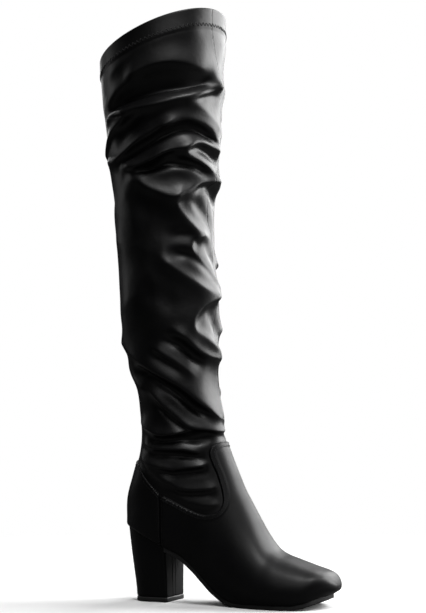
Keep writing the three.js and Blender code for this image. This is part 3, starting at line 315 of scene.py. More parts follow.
# Folds, each as swell, over, under and then its crest's path, a row of turns and rises. A
# turn is an angle from the toe, in hundredths of a half turn with the outer side negative. A
# rise is a height above the ankle, in thousandths of the shaft height. swell is how far the
# fold stands out, in thousandths of the collar depth, and a trough is negative. over and
# under are its reach to the left and right of its path, in thousandths of the shaft height.
FOLDS = (
    (18, 29, 15, (-76, 841), (-67, 863), (-58, 877), (-50, 881)),
    (-61, 26, 12, (-76, 824), (-66, 837), (-56, 837), (-34, 835), (-22, 835), (-8, 841)),
    (31, 33, 15, (-56, 896), (-44, 899), (-32, 892), (-22, 879), (-13, 861), (-4, 841)),
    (53, 9, 24, (-76, 826), (-68, 817), (-56, 811), (-43, 808), (-33, 811), (-23, 817),
     (-16, 824), (-8, 835), (0, 844)),
    (21, 20, 20, (-6, 852), (4, 844), (14, 833)),
    (28, 11, 18, (-60, 813), (-58, 800), (-62, 786), (-68, 778), (-75, 760), (-82, 731),
     (-89, 709)),
    (-24, 18, 18, (-51, 784), (-58, 764), (-66, 740)),
    (32, 11, 22, (-83, 700), (-78, 694), (-72, 692), (-64, 700), (-55, 720), (-47, 740),
     (-39, 753), (-32, 764)),
    (-42, 13, 13, (-66, 683), (-58, 696), (-45, 716), (-36, 733), (-26, 744), (-16, 742),
     (-5, 727)),
    (31, 24, 9, (-37, 756), (-31, 762), (-24, 767), (-16, 758), (-7, 740), (1, 725)),
    (21, 20, 18, (-22, 802), (-13, 784), (-3, 762), (8, 744)),
    (-21, 10, 10, (-19, 804), (-9, 815), (-2, 822)),
    (38, 10, 18, (-63, 672), (-52, 667), (-46, 676), (-38, 692), (-30, 703), (-24, 711),
     (-19, 718), (-12, 718), (-3, 714), (4, 707)),
    (-24, 11, 13, (-62, 648), (-54, 652), (-44, 661), (-37, 676), (-30, 689)),
    (35, 13, 22, (-20, 716), (-24, 705), (-24, 694), (-20, 683), (-13, 672), (-4, 659),
     (4, 639), (11, 621)),
    (-31, 12, 12, (-17, 703), (-9, 696), (0, 683)),
    (-35, 12, 12, (-53, 652), (-41, 659), (-31, 667), (-18, 663), (-8, 650)),
    (38, 13, 22, (-60, 645), (-53, 637), (-49, 621), (-42, 606), (-32, 595), (-23, 604),
     (-14, 623), (-3, 641), (4, 648)),
    (-28, 13, 14, (-17, 606), (-8, 619), (1, 604), (7, 581)),
    (29, 13, 29, (-26, 612), (-29, 588), (-29, 568), (-23, 537), (-16, 515), (-6, 498)),
    (-17, 18, 15, (-17, 581), (-9, 551), (-1, 522)),
    (29, 13, 29, (-12, 502), (-19, 487), (-20, 460), (-13, 434), (-4, 410), (3, 388), (8, 363)),
    (-17, 15, 15, (-31, 493), (-22, 496), (-17, 489)),
    (-14, 15, 14, (-8, 480), (-3, 452), (4, 427)),
    (-24, 14, 14, (-32, 449), (-20, 443), (-9, 419), (0, 394)),
    (32, 15, 29, (-40, 441), (-31, 414), (-21, 388), (-10, 368), (3, 361)),
    (29, 13, 29, (3, 359), (-8, 341), (-16, 319), (-21, 293), (-21, 267), (-13, 249), (-3, 231),
     (7, 216)),
    (-17, 18, 15, (-7, 317), (-4, 291), (2, 260)),
    (-17, 26, 26, (-54, 357), (-42, 344), (-33, 313)),
    (31, 15, 13, (-34, 264), (-28, 251), (-20, 222), (-10, 207), (1, 205)),
    (-31, 11, 13, (-41, 242), (-31, 225), (-23, 203), (-17, 185)),
    (24, 13, 13, (-51, 225), (-41, 200), (-32, 181), (-25, 163)),
    (-21, 11, 13, (-53, 209), (-42, 185), (-34, 170)),
    (21, 11, 20, (-11, 251), (0, 216), (2, 181), (3, 145), (3, 115), (1, 79)),
    (43, 37, 22, (-88, 256), (-78, 229), (-63, 194), (-49, 161), (-33, 130), (-22, 101),
     (-10, 73), (3, 53)),
    (-49, 12, 15, (-71, 172), (-62, 161), (-49, 139), (-35, 112), (-24, 81), (-14, 62)),
    (29, 22, 26, (-96, 194), (-83, 167), (-72, 141), (-63, 119)),
    (38, 15, 13, (-60, 126), (-54, 106), (-47, 75), (-37, 48), (-25, 33), (-14, 31), (2, 31)),
    (-31, 11, 12, (-56, 86), (-43, 55), (-33, 31), (-23, 20), (-14, 15)),
    (31, 13, 11, (-78, 48), (-68, 35), (-56, 20), (-44, 20), (-33, 24), (-23, 22)),
    (-28, 11, 11, (-66, -2), (-50, 0), (-33, 4), (-19, 0), (-11, -7)),
    (28, 12, 11, (-73, -4), (-64, -11), (-49, -18), (-34, -18), (-21, -29)),
    (-28, 11, 11, (-62, -31), (-47, -31), (-29, -37), (-14, -44)),
    (31, 11, 13, (-79, -31), (-72, -42), (-59, -57), (-47, -66), (-34, -59), (-18, -53),
     (-10, -46)),
    (-24, 11, 11, (-58, -73), (-44, -77), (-28, -75), (-18, -70)),
    (24, 12, 13, (-71, -57), (-56, -90), (-44, -108), (-26, -112), (-8, -104)),
    (-18, 11, 11, (-53, -110), (-39, -126), (-25, -128), (-10, -123)),
    (18, 11, 13, (-51, -128), (-38, -145), (-22, -150), (-7, -145)),
    (35, 18, 22, (40, 363), (25, 304), (11, 269)),
    (38, 18, 20, (40, 275), (34, 216), (19, 143), (10, 115)),
    (-28, 15, 18, (39, 242), (31, 194), (12, 132)),
    (28, 15, 18, (40, 172), (33, 137), (21, 84), (8, 55)),
    (-24, 13, 15, (40, 106), (31, 75), (17, 35), (6, 22)),
    (52, 31, 18, (17, 449), (31, 438), (44, 427), (61, 434), (78, 445), (92, 454)),
    (-35, 15, 18, (13, 403), (33, 399), (50, 392), (69, 396), (89, 410)),
    (45, 20, 26, (94, 559), (86, 573), (67, 604), (47, 634), (28, 661), (19, 674)),
    (-35, 18, 18, (92, 518), (83, 520), (64, 546), (44, 577), (29, 595)),
    (24, 15, 18, (83, 507), (67, 524), (47, 559), (31, 581)),
    (35, 20, 22, (92, 661), (83, 670), (61, 705), (40, 736), (23, 749)),
    (-31, 18, 18, (93, 626), (83, 639), (61, 674), (42, 705)),
    (35, 20, 26, (94, 764), (89, 762), (67, 780), (47, 802), (28, 806), (19, 793)),
    (-28, 18, 18, (92, 733), (78, 736), (58, 756), (39, 771)),
    (25, 22, 20, (96, 841), (83, 841), (72, 824), (50, 841), (33, 855), (21, 850)),
    (28, 22, 22, (71, 366), (81, 348), (93, 344)),
    (-21, 18, 18, (78, 308), (92, 302)),
    (35, 20, 22, (99, 238), (89, 225), (78, 194), (68, 167)),
    (-31, 18, 18, (98, 181), (89, 167), (78, 141)),
    (28, 18, 20, (98, 110), (89, 101), (78, 88)),
    (-24, 15, 15, (96, 62), (86, 57), (72, 53)),
    (24, 15, 18, (97, 26), (86, 22), (75, 22)),
    (17, 35, 44, (-83, 286), (-73, 326), (-59, 352), (-41, 361)),
    (15, 31, 44, (-81, 493), (-64, 480), (-47, 454)),
    (15, 31, 40, (-83, 577), (-70, 551), (-53, 537)),
    (13, 31, 31, (-66, 612), (-60, 564), (-58, 507)),
    (13, 31, 35, (-53, 388), (-42, 423), (-37, 480)),
    (11, 20, 31, (-17, 947), (-33, 952), (-53, 943), (-72, 925)),
    (10, 31, 26, (-6, 930), (17, 938), (39, 930), (61, 916)),
)

# A fold's fade at its ends, the points of its path, how many reaches it is counted over, how
# much of its swell it hangs down, and the powers of a crest's and of a trough's bell
FOLD_TAPER = 0.022
FOLD_POINTS = 28
FOLD_SPAN = 2.6
FOLD_SAG = 0.5
CREST_POWER = 1.5
TROUGH_POWER = 2.2

# Slow waves of slack leather: waves round, radians per metre upwards, start and swell
SLACK_WAVES = (
    (3, 38, 0.4, 0.00030), (5, -62, 1.7, 0.00022), (2, 86, 3.1, 0.00020),
    (7, 122, 0.9, 0.00012), (9, -166, 2.3, 0.00008),
)

# How far from a panel the folds begin and are full, and how far below the collar the slow
# waves begin to fade
FOLD_CLEAR = 0.001
FOLD_FULL = 0.013
SLACK_FROM_COLLAR = 0.075

# Steps of the parameters when a slope is taken, doubled corners that merge, and the least
# length that counts
STEP = 0.01
MERGE = 1e-6
TINY = 1e-12


# Lengths, curves and lines


def foot_x(share):
    """A share of the foot length as a place, counted from the heel's middle."""
    return (np.asarray(share) - HEEL_OVERHANG) * FOOT_LENGTH


def foot_z(share):
    """A share of the ankle height as a height."""
    return np.asarray(share) * ANKLE_HEIGHT


def shaft_z(share):
    """A share of the shaft height as a height over the ground."""
    return ANKLE_HEIGHT + np.asarray(share) * SHAFT_HEIGHT


def ease(value, low, high):
    """A smooth step: 3 t squared minus 2 t cubed, t running from low to high."""
    t = np.clip((value - low) / (high - low), 0, 1)
    return t * t * (3 - 2 * t)


def unit(vectors):
    """Vectors brought to length 1."""
    return vectors / np.maximum(np.linalg.norm(vectors, axis=-1, keepdims=True), TINY)


def square_to(vectors, way):
    """Vectors without their part along a unit direction, brought to length 1."""
    return unit(vectors - way * (vectors * way).sum(axis=-1, keepdims=True))


def full_turn(count):
    """Angles spaced evenly round a circle."""
    return np.linspace(0, 2 * np.pi, count + 1)[:-1]


def round_power(value, power):
    """A cosine or sine bent so that a circle becomes a squared one."""
    return np.sign(value) * np.abs(value) ** (2 / power)


def reach_along(points):
    """The length from a line's first point to each of its points."""
    return np.append(0, np.cumsum(np.linalg.norm(np.diff(points, axis=0), axis=1)))


def curve_through(keys, values, guarded=False):
    """A cubic through keyed values. Its slopes are the mean of both sides, or their harmonic
    mean if guarded, so that a guarded curve never swings past its points."""
    keys, values = np.asarray(keys, float), np.asarray(values, float)
    steps = np.diff(values) / np.diff(keys)
    slopes = np.empty_like(values)
    slopes[0], slopes[-1] = steps[0], steps[-1]
    slopes[1:-1] = (values[2:] - values[:-2]) / (keys[2:] - keys[:-2])
    if guarded:
        before, after = steps[:-1], steps[1:]
        both = before * after
        total = np.where(np.abs(before + after) < TINY, 1, before + after)
        slopes[1:-1] = np.where(both > 0, 2 * both / total, 0)

    def at(place):
        key = np.clip(place, keys[0], keys[-1])
        i = np.clip(np.searchsorted(keys, key, side="right") - 1, 0, len(keys) - 2)
        span = keys[i + 1] - keys[i]
        t = (key - keys[i]) / span
        rise = values[i + 1] - values[i]
        a = span * slopes[i] - rise
        b = rise - span * slopes[i + 1]
        return values[i] + t * rise + t * (1 - t) * ((1 - t) * a + t * b)

    return at


def smooth_line(points, count=None):
    """A flat line with its corners eased: a curve through its points by length, at an even
    spacing, which is 2 mm where no count is given."""
    reach = reach_along(points)
    steps = np.linspace(0, reach[-1], count or max(int(reach[-1] / 0.002), 2))
    return np.stack([curve_through(reach, points[:, i])(steps) for i in (0, 1)], axis=1)


def line_distance(line, x, z):
    """The least distance from places to a side-view line."""
    nearest = np.full(x.shape, np.inf)
    for (ax, az), (bx, bz) in zip(line[:-1], line[1:]):
        dx, dz = bx - ax, bz - az
        t = np.clip(((x - ax) * dx + (z - az) * dz) / max(dx * dx + dz * dz, TINY), 0, 1)
        nearest = np.minimum(nearest, np.hypot(x - ax - t * dx, z - az - t * dz))
    return nearest


def outline_distance(outline, x, z):
    """Distance to a closed outline in side view, negative inside it: the sign comes from the
    count of sides that a ray crosses."""
    ring = np.vstack([outline, outline[:1]])
    inside = np.zeros(x.shape, bool)
    for (ax, az), (bx, bz) in zip(ring[:-1], ring[1:]):
        if az != bz:
            inside ^= ((az > z) != (bz > z)) & (x < ax + (bx - ax) * (z - az) / (bz - az))
    distance = line_distance(ring, x, z)
    return np.where(inside, -distance, distance)


def side_view(rows):
    """A table of shares of the foot length and ankle height as side-view places."""
    rows = np.asarray(rows, float)
    return np.stack([foot_x(rows[:, 0]), foot_z(rows[:, 1])], axis=1)


def inset(line, distance):
    """A flat line moved to its right by a distance."""
    along = unit(np.gradient(line, axis=0))
    return line + np.stack([along[:, 1], -along[:, 0]], axis=1) * distance


# The skin's own curves


feather_rise = curve_through(foot_x(FEATHER_RISE[:, 0]), foot_z(FEATHER_RISE[:, 1]), True)


def feather_z(x):
    """The height of the feather line."""
    return SOLE_THICKNESS + feather_rise(x)


def underside_z(x):
    """The underside of the sole: its thickness measured square to the feather line."""
    step = 0.001
    slope = (feather_rise(x + step) - feather_rise(x - step)) / (2 * step)
    return np.maximum(feather_z(x) - SOLE_THICKNESS * np.hypot(1, slope), 0)


def all_sections():
    """Foot and shaft sections in one table: top x, z, bottom x, z, outer, inner, power, drop."""
    foot = FOOT_SECTIONS.copy()
    foot[:, [0, 2]] = foot_x(foot[:, [0, 2]])
    foot[:, [1, 3]] = foot_z(foot[:, [1, 3]])
    foot[:, [4, 5]] *= BALL_WIDTH
    rise, centre, depth, width = SHAFT_SECTIONS.T
    shaft = np.zeros((len(rise), 8))
    shaft[:, 0] = foot_x(centre) + depth * COLLAR_DEPTH / 2
    shaft[:, 2] = foot_x(centre) - depth * COLLAR_DEPTH / 2
    shaft[:, 1] = shaft[:, 3] = shaft_z(rise)
    shaft[:, 4] = shaft[:, 5] = width * COLLAR_WIDTH / 2
    shaft[:, 6] = SHAFT_POWER
    return np.vstack([foot, shaft])


SECTIONS = all_sections()
LAST = len(SECTIONS) - 1
section_curves = [curve_through(np.arange(LAST + 1), column) for column in SECTIONS.T]
shaft_centre = curve_through(
    np.append(foot_z(0.6), shaft_z(SHAFT_SECTIONS[:, 0])),
    np.append(foot_x(0.27), foot_x(SHAFT_SECTIONS[:, 1])))
radius_at = curve_through(
    np.append(0, shaft_z(SHAFT_SECTIONS[:, 0])),
    np.append(SHAFT_SECTIONS[0, 2], SHAFT_SECTIONS[:, 2]) * COLLAR_DEPTH / 2)
front_seam_turn = curve_through(shaft_z(FRONT_SEAM[::-1, 0]), FRONT_SEAM[::-1, 1])
zip_x = curve_through(foot_z(ZIP_LINE[:, 1]), foot_x(ZIP_LINE[:, 0]))
ZIP_LOW, ZIP_HIGH = foot_z(ZIP_LINE[0, 1]), foot_z(ZIP_LINE[-1, 1])


def beside_zip(shift, low, high, count):
    """Side-view places beside the zip."""
    z = np.linspace(low, high, count)
    return np.stack([zip_x(z) + shift, z], axis=1)


def panel_outlines():
    """Side-view outlines of the panels and the chain, their upper edges eased."""
    seam = float(foot_x(SIDE_SEAM))
    low, behind, ahead = float(foot_z(DEEP)), float(foot_x(BEHIND)), float(foot_x(AHEAD))
    counter_outer, counter_inner = side_view(COUNTER_TOP_OUTER), side_view(COUNTER_TOP_INNER)
    vamp_outer, vamp_inner = side_view(VAMP_TOP_OUTER), side_view(VAMP_TOP_INNER)
    counter_outer[-1, 0] = seam - SEAM_HALF_GAP
    counter_inner[-1, 0] = zip_x(counter_inner[-1, 1]) - TAPE_EDGE
    vamp_outer[0, 0] = seam + SEAM_HALF_GAP
    vamp_inner[0, 0] = zip_x(vamp_inner[0, 1]) + TAPE_EDGE
    facing_low, facing_high = foot_z(FACING_FROM), foot_z(FACING_TO)
    facing_tip = zip_x(facing_high) + TAPE_EDGE + FACING_WIDTH * 0.5
    return {
        "counter_outer": np.vstack([
            counter_outer[:1], smooth_line(counter_outer[1:]),
            [(seam - SEAM_HALF_GAP, low), (behind, low)]]),
        "counter_inner": np.vstack([
            counter_inner[:1], smooth_line(counter_inner[1:]),
            beside_zip(-TAPE_EDGE, counter_inner[-1, 1] - 0.004, ZIP_LOW, 12),
            [(zip_x(0) - TAPE_EDGE, low), (behind, low)]]),
        "vamp_outer": np.vstack([
            smooth_line(vamp_outer[:-1]), vamp_outer[-1:],
            [(ahead, low), (seam + SEAM_HALF_GAP, low)]]),
        "vamp_inner": np.vstack([
            vamp_inner[:1], smooth_line(vamp_inner[1:-1]), vamp_inner[-1:],
            [(ahead, low), (zip_x(0) + TAPE_EDGE, low)],
            beside_zip(TAPE_EDGE, ZIP_LOW, vamp_inner[0, 1] - 0.003, 10)]),
        "facing": np.vstack([
            beside_zip(TAPE_EDGE, facing_low, facing_high, 24),
            [(facing_tip, facing_high + 0.004)],
            beside_zip(TAPE_EDGE + FACING_WIDTH, facing_low, facing_high - 0.010, 24)[::-1]]),
        "chain": np.vstack([
            beside_zip(-CHAIN_HALF_WIDTH, ZIP_LOW, ZIP_HIGH, 24),
            beside_zip(CHAIN_HALF_WIDTH, ZIP_LOW, ZIP_HIGH, 24)[::-1]]),
    }


OUTLINES = panel_outlines()


# Folds


def fold_path(points):
    """The crest's path laid flat: round the shaft and up, evenly spaced along its length and
    drawn out by half a taper at both ends."""
    turns, rises = np.array(points).T
    z = shaft_z(rises / 1000)
    flat = np.stack([turns / 100 * math.pi * radius_at(z), z], axis=1)
    line = smooth_line(flat, FOLD_POINTS)
    for end, beside in ((0, 1), (-1, -2)):
        line[end] += unit(line[end] - line[beside]) * FOLD_TAPER / 2
    return line


FOLD_PATHS = [
    (fold_path(points), swell / 1000 * COLLAR_DEPTH, over / 1000 * SHAFT_HEIGHT,
     under / 1000 * SHAFT_HEIGHT)
    for swell, over, under, *points in FOLDS
]


def crest_share(line, u, z, over, under, power):
    """The share of a crest's swell at flat places: exp(-(distance / reach) to a power), times
    a smooth rise along the path from either end. A low power gives a thin crest."""
    start, step = line[:-1], np.diff(line, axis=0)
    length = np.hypot(*step.T)
    along = np.append(0, np.cumsum(length))
    du, dz = u[:, None] - start[:, 0], z[:, None] - start[:, 1]
    t = np.clip((du * step[:, 0] + dz * step[:, 1]) / length ** 2, 0, 1)
    away = np.hypot(du - t * step[:, 0], dz - t * step[:, 1])
    best = away.argmin(axis=1)
    each = np.arange(len(u))
    side = step[best, 0] * dz[each, best] - step[best, 1] * du[each, best]
    distance, place = away[each, best], along[best] + t[each, best] * length[best]
    blend = ease(side / length[best], -0.002, 0.002)
    reach = under + (over - under) * blend
    taper = min(FOLD_TAPER, along[-1] / 2)
    fade = ease(place, 0, taper) * ease(along[-1] - place, 0, taper)
    return fade * np.exp(-((distance / reach) ** power))


def fold_swell(turn, z):
    """How far the folds stand out at an angle and height: a sum of crests. Laid flat, each is
    a bell across its path, with its own reach on either side, and fades towards both ends."""
    turn, z = np.broadcast_arrays(turn, z)
    shape = turn.shape
    turn, z = turn.ravel(), z.ravel()
    radius = radius_at(z)
    total = np.zeros(turn.shape)
    for line, swell, over, under in FOLD_PATHS:
        reach = FOLD_SPAN * max(over, under)
        level = np.abs(z - line[:, 1].mean()) < np.ptp(line[:, 1]) / 2 + reach * 1.3
        power = CREST_POWER if swell > 0 else TROUGH_POWER
        for whole in (-2, 0, 2):
            u = (turn + whole) * math.pi * radius
            near = np.flatnonzero(
                level & (u > line[:, 0].min() - reach) & (u < line[:, 0].max() + reach))
            if len(near):
                total[near] += swell * crest_share(line, u[near], z[near], over, under, power)
    return total.reshape(shape)


def slack_waves(turn, z):
    """Slow uneven swelling of slack leather: a sum of fixed waves round and up."""
    return sum(
        swell * np.sin(round_ * math.pi * turn + up * z + start)
        for round_, up, start, swell in SLACK_WAVES)


def fold_freedom(x, y, z):
    """How freely the skin folds: none under a panel, all well away from every panel."""
    outer, inner = (
        np.minimum.reduce([outline_distance(OUTLINES[name], x, z) for name in names])
        for names in (("counter_outer", "vamp_outer"),
                      ("counter_inner", "vamp_inner", "facing", "chain")))
    blend = ease(y, -0.008, 0.008)
    free = ease(outer, FOLD_CLEAR, FOLD_FULL) * (1 - blend)
    return free + ease(inner, FOLD_CLEAR, FOLD_FULL) * blend


# The skin


def nose_factor(at, ahead, share, power):
    """How far a section near the toe has opened: nought at the tip and one from a share of
    the foot length behind it, as a squared circle opens."""
    t = np.clip(ahead / (share * FOOT_LENGTH), 0, 1)
    return np.where(at < TOE_SECTIONS, (1 - (1 - t) ** power) ** (1 / power), 1)


def push_folds(x, y, z):
    """Places of the skin pushed out from the shaft's centre by the folds, and let down a
    little where they stand out."""
    centre = shaft_centre(z)
    reach = np.maximum(np.hypot(x - centre, y), TINY)
    turn = np.arctan2(y, x - centre) / math.pi
    free = np.where(z > foot_z(0.5), fold_freedom(x, y, z), 0)
    taut = ease(z, shaft_z(1.0) - SLACK_FROM_COLLAR, shaft_z(1.0) - HEM_HEIGHT)
    push = (fold_swell(turn, z) + slack_waves(turn, z) * (1 - taut)) * free
    sag = FOLD_SAG * np.maximum(push, 0)
    return x + push * (x - centre) / reach, y + push * y / reach, z - sag


def skin(at, angle, folded=False):
    """The skin as a function of the section and the angle round it, from the top end over
    the outer side. A section is a squared ellipse between its two ends; near the toe it
    shrinks as a squared circle does. The collar's slope lifts its front."""
    at, angle = np.broadcast_arrays(np.asarray(at, float), np.asarray(angle, float))
    top_x, top_z, bottom_x, bottom_z, outer, inner, power, drop = (c(at) for c in section_curves)
    ahead = SECTIONS[0, 0] - (top_x + bottom_x) / 2
    depth = nose_factor(at, ahead, NOSE_DEPTH_SHARE, NOSE_DEPTH_POWER)
    breadth = nose_factor(at, ahead, NOSE_WIDTH_SHARE, NOSE_WIDTH_POWER)
    up = round_power(np.cos(angle), power)
    across = round_power(np.sin(angle), power)
    along = depth * (up - drop * (1 - up * up))
    x = (top_x + bottom_x) / 2 + along * (top_x - bottom_x) / 2
    y = -across * np.where(across > 0, outer, inner) * breadth
    z = (top_z + bottom_z) / 2 + along * (top_z - bottom_z) / 2
    if folded:
        x, y, z = push_folds(x, y, z)
    tilt = ease(z, shaft_z(COLLAR_SLOPE_FROM), shaft_z(1.0)) * COLLAR_SLOPE
    return np.stack([x, y, z + tilt * (x - shaft_centre(z))], axis=-1)


def skin_normal(at, angle, folded=False):
    """The skin's outward direction: the cross product of its two tangents."""
    ahead = (skin(np.minimum(at + STEP, LAST), angle, folded)
             - skin(np.maximum(at - STEP, 0), angle, folded))
    round_ = skin(at, angle + STEP, folded) - skin(at, angle - STEP, folded)
    return unit(np.cross(ahead, round_))


def even_rows(low, high, spacing):
    """Sections spaced evenly along the skin: the longest of its eight long lines gives the
    length between two fine steps."""
    fine = low + (high - low) * np.linspace(0, 1, 3000) ** 2
    points = skin(fine[:, None], full_turn(8))
    reach = np.linalg.norm(np.diff(points, axis=0), axis=-1).max(axis=1)
    total = np.append(0, np.cumsum(reach))
    return np.interp(np.linspace(0, total[-1], int(total[-1] / spacing)), total, fine)


def below_collar(rows):
    """How far below the collar's edge each row lies."""
    return shaft_z(1.0) - section_curves[1](rows)


# Meshes


def grid_normals(points):
    """Outward directions of a skin grid whose columns close on themselves."""
    round_ = np.roll(points, -1, axis=1) - np.roll(points, 1, axis=1)
    return unit(np.cross(np.gradient(points, axis=0), round_))


def grid_faces(rows, columns):
    """Quads between neighbours of a grid whose columns close on themselves, counted row by
    row. On a grid of the skin they face outwards."""
    i, j = np.meshgrid(np.arange(rows - 1), np.arange(columns), indexing="ij")
    k = (j + 1) % columns
    corners = [i * columns + j, (i + 1) * columns + j, (i + 1) * columns + k, i * columns + k]
    return np.stack(corners, axis=-1).reshape(-1, 4)


def weld_mesh(mesh):
    """Merges doubled corners, such as those at a pole."""
    work = bmesh.new()
    work.from_mesh(mesh)
    bmesh.ops.remove_doubles(work, verts=work.verts, dist=MERGE)
    work.to_mesh(mesh)
    work.free()


def point_faces_out(mesh):
    """Turns all faces over where the signed volume is negative."""
    work = bmesh.new()
    work.from_mesh(mesh)
    if work.calc_volume(signed=True) < 0:
        bmesh.ops.reverse_faces(work, faces=work.faces)
    work.to_mesh(mesh)
    work.free()


def new_piece(name, points, faces, material, body="boot", welded=True):
    """A finished mesh at the origin that rides on a body of the frame."""
    mesh = bpy.data.meshes.new(name)
    mesh.from_pydata(np.reshape(points, (-1, 3)).tolist(), [], faces.tolist())
    mesh.polygons.foreach_set("use_smooth", np.ones(len(mesh.polygons), bool))
    mesh.materials.append(material)
    mesh.update()
    piece = bpy.data.objects.new(name, mesh)
    bpy.context.scene.collection.objects.link(piece)
    if welded:
        weld_mesh(mesh)
    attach(piece, body)
    return piece


def loft(name, rings, material, body="boot"):
    """A closed form through rings of points, its two ends drawn to their middles."""
    rings = np.asarray(rings)
    ends = [np.broadcast_to(rings[i].mean(axis=0), (1, *rings.shape[1:])) for i in (0, -1)]
    points = np.vstack([ends[0], rings, ends[1]])
    faces = grid_faces(len(points), rings.shape[1])
    piece = new_piece(name, points, faces, material, body)
    point_faces_out(piece.data)
    return piece


def tube_rings(path, first, second, across, sides=14):
    """Rings along a path: ellipses with one half width along a given direction and the other
    square to it and to the path."""
    along = unit(np.gradient(path, axis=0))
    across = square_to(np.broadcast_to(np.asarray(across, float), path.shape), along)
    third = np.cross(along, across)
    turn = full_turn(sides)[None, :, None]
    return (path[:, None] + first * across[:, None] * np.cos(turn)
            + second * third[:, None] * np.sin(turn))


def rounded_rings(stations, half_width, half_depth, power, sides=28):
    """Rings across the third axis: squared ellipses whose half width and depth are given at
    each height."""
    turn = full_turn(sides)
    rings = np.zeros((len(stations), sides, 3))
    rings[..., 0] = half_width[:, None] * round_power(np.cos(turn), power)
    rings[..., 1] = half_depth[:, None] * round_power(np.sin(turn), power)
    rings[..., 2] = stations[:, None]
    return rings


def capsule(length, radius, sides=6):
    """A rounded bar along the first axis: rings whose radius grows from the ends inwards."""
    turn = full_turn(sides)
    points = np.zeros((5, sides, 3))
    points[..., 0] = np.array([-0.5, -0.40, 0.0, 0.40, 0.5])[:, None] * length
    width = np.array([0.0, 0.85, 1.1, 0.85, 0.0])[:, None] * radius
    points[..., 1:] = width[..., None] * np.stack([np.cos(turn), np.sin(turn)], axis=1)
    return points.reshape(-1, 3), grid_faces(5, sides)[:, ::-1]


def place_many(name, shape, centres, axes, material):
    """Copies of a small shape, each turned to its own three axes."""
    points, faces = shape
    placed = centres[:, None, :] + np.einsum("mk,nkj->nmj", points, axes)
    shifted = faces[None] + (np.arange(len(centres)) * len(points))[:, None, None]
    return new_piece(name, placed, shifted.reshape(-1, 4), material)


def keep_value(piece, name, values):
    """A number at each corner that the piece's material reads."""
    attribute = piece.data.attributes.new(name, "FLOAT", "POINT")
    attribute.data.foreach_set("value", np.asarray(values, np.float32).ravel())


# Materials


def set_inputs(tree, node, inputs):
    """Links sockets to a node's inputs, and sets plain values on them."""
    for key, value in inputs.items():
        if isinstance(value, bpy.types.NodeSocket):
            tree.links.new(value, node.inputs[key])
        else:
            node.inputs[key].default_value = value


def add_node(tree, kind, inputs=None, **settings):
    """A new node with its settings and inputs."""
    node = tree.nodes.new(kind)
    for key, value in settings.items():
        setattr(node, key, value)
    set_inputs(tree, node, inputs or {})
    return node


def new_material(name):
    """A material with its node tree, its shader and the place on the object."""
    material = bpy.data.materials.new(name)
    material.use_nodes = True
    tree = material.node_tree
    place = add_node(tree, "ShaderNodeTexCoord").outputs["Object"]
    return material, tree, tree.nodes["Principled BSDF"], place


def add_noise(tree, place, scale, detail):
    """Cloudy noise, its scale in clouds per metre."""
    inputs = {"Vector": place, "Scale": scale, "Detail": detail}
    return add_node(tree, "ShaderNodeTexNoise", inputs).outputs["Fac"]


def add_bump(tree, height, strength, distance, normal=None):
    """A surface direction tipped by a height, over another if one is given."""
    inputs = {"Height": height, "Strength": strength, "Distance": distance}
    if normal is not None:
        inputs["Normal"] = normal
    return add_node(tree, "ShaderNodeBump", inputs).outputs["Normal"]


def map_range(tree, value, source, target=(0.0, 1.0), **settings):
    """A value carried from one span to another."""
    inputs = {"Value": value, "From Min": source[0], "From Max": source[1],
              "To Min": target[0], "To Max": target[1]}
    return add_node(tree, "ShaderNodeMapRange", inputs, **settings).outputs["Result"]


def add_ramp(tree, factor, low, high):
    """A blend of two colours, each given with its place on the scale."""
    ramp = add_node(tree, "ShaderNodeValToRGB", {"Fac": factor})
    for element, (position, color) in zip(ramp.color_ramp.elements, (low, high)):
        element.position = position
        element.color = (*color, 1)
    return ramp.outputs["Color"]


def times(color, factor):
    """A colour made lighter or darker."""
    return tuple(part * factor for part in color)


def add_seam_groove(tree, normal):
    """A pressed line where the piece's seam value is near nought."""
    seam = add_node(tree, "ShaderNodeAttribute", attribute_name="seam").outputs["Fac"]
    depth = map_range(tree, seam, (0.0, SEAM_REACH), interpolation_type="SMOOTHSTEP")
    return add_bump(tree, depth, 1.0, SEAM_DEPTH, normal)


def make_leather(name, dark, light, roughness, shine, creases=1.0, seams=False):
    """Coated leather: a fine pebble grain, soft creases and slow changes of gloss."""
    material, tree, shader, place = new_material(name)
    slow = add_noise(tree, place, 22.0, 3.0)
    pebble = add_node(tree, "ShaderNodeTexVoronoi", {"Vector": place, "Scale": 1300.0},
                      feature="SMOOTH_F1")
    set_inputs(tree, pebble, {"Smoothness": 0.6})
    grain = add_bump(tree, pebble.outputs["Distance"], 0.10, 0.0003)
    normal = add_bump(tree, add_noise(tree, place, 140.0, 4.0), 0.16 * creases, 0.0012, grain)
    if seams:
        normal = add_seam_groove(tree, normal)
    set_inputs(tree, shader, {
        "Base Color": add_ramp(tree, slow, (0.3, dark), (0.75, light)),
        "Roughness": map_range(tree, slow, (0.3, 0.7), roughness),
        "Normal": normal,
        "Specular IOR Level": shine,
        "Coat Weight": 0.05,
        "Coat Roughness": 0.25,
    })
    return material


def make_rubber(name, color, roughness):
    """Moulded rubber or plastic: a fine even roughness."""
    material, tree, shader, place = new_material(name)
    slow = add_noise(tree, place, 30.0, 2.0)
    set_inputs(tree, shader, {
        "Base Color": add_ramp(tree, slow, (0.3, color), (0.8, times(color, 1.7))),
        "Roughness": map_range(tree, slow, (0.0, 1.0), (roughness - 0.08, roughness + 0.1)),
        "Normal": add_bump(tree, add_noise(tree, place, 900.0, 3.0), 0.2, 0.0002),
    })
    return material


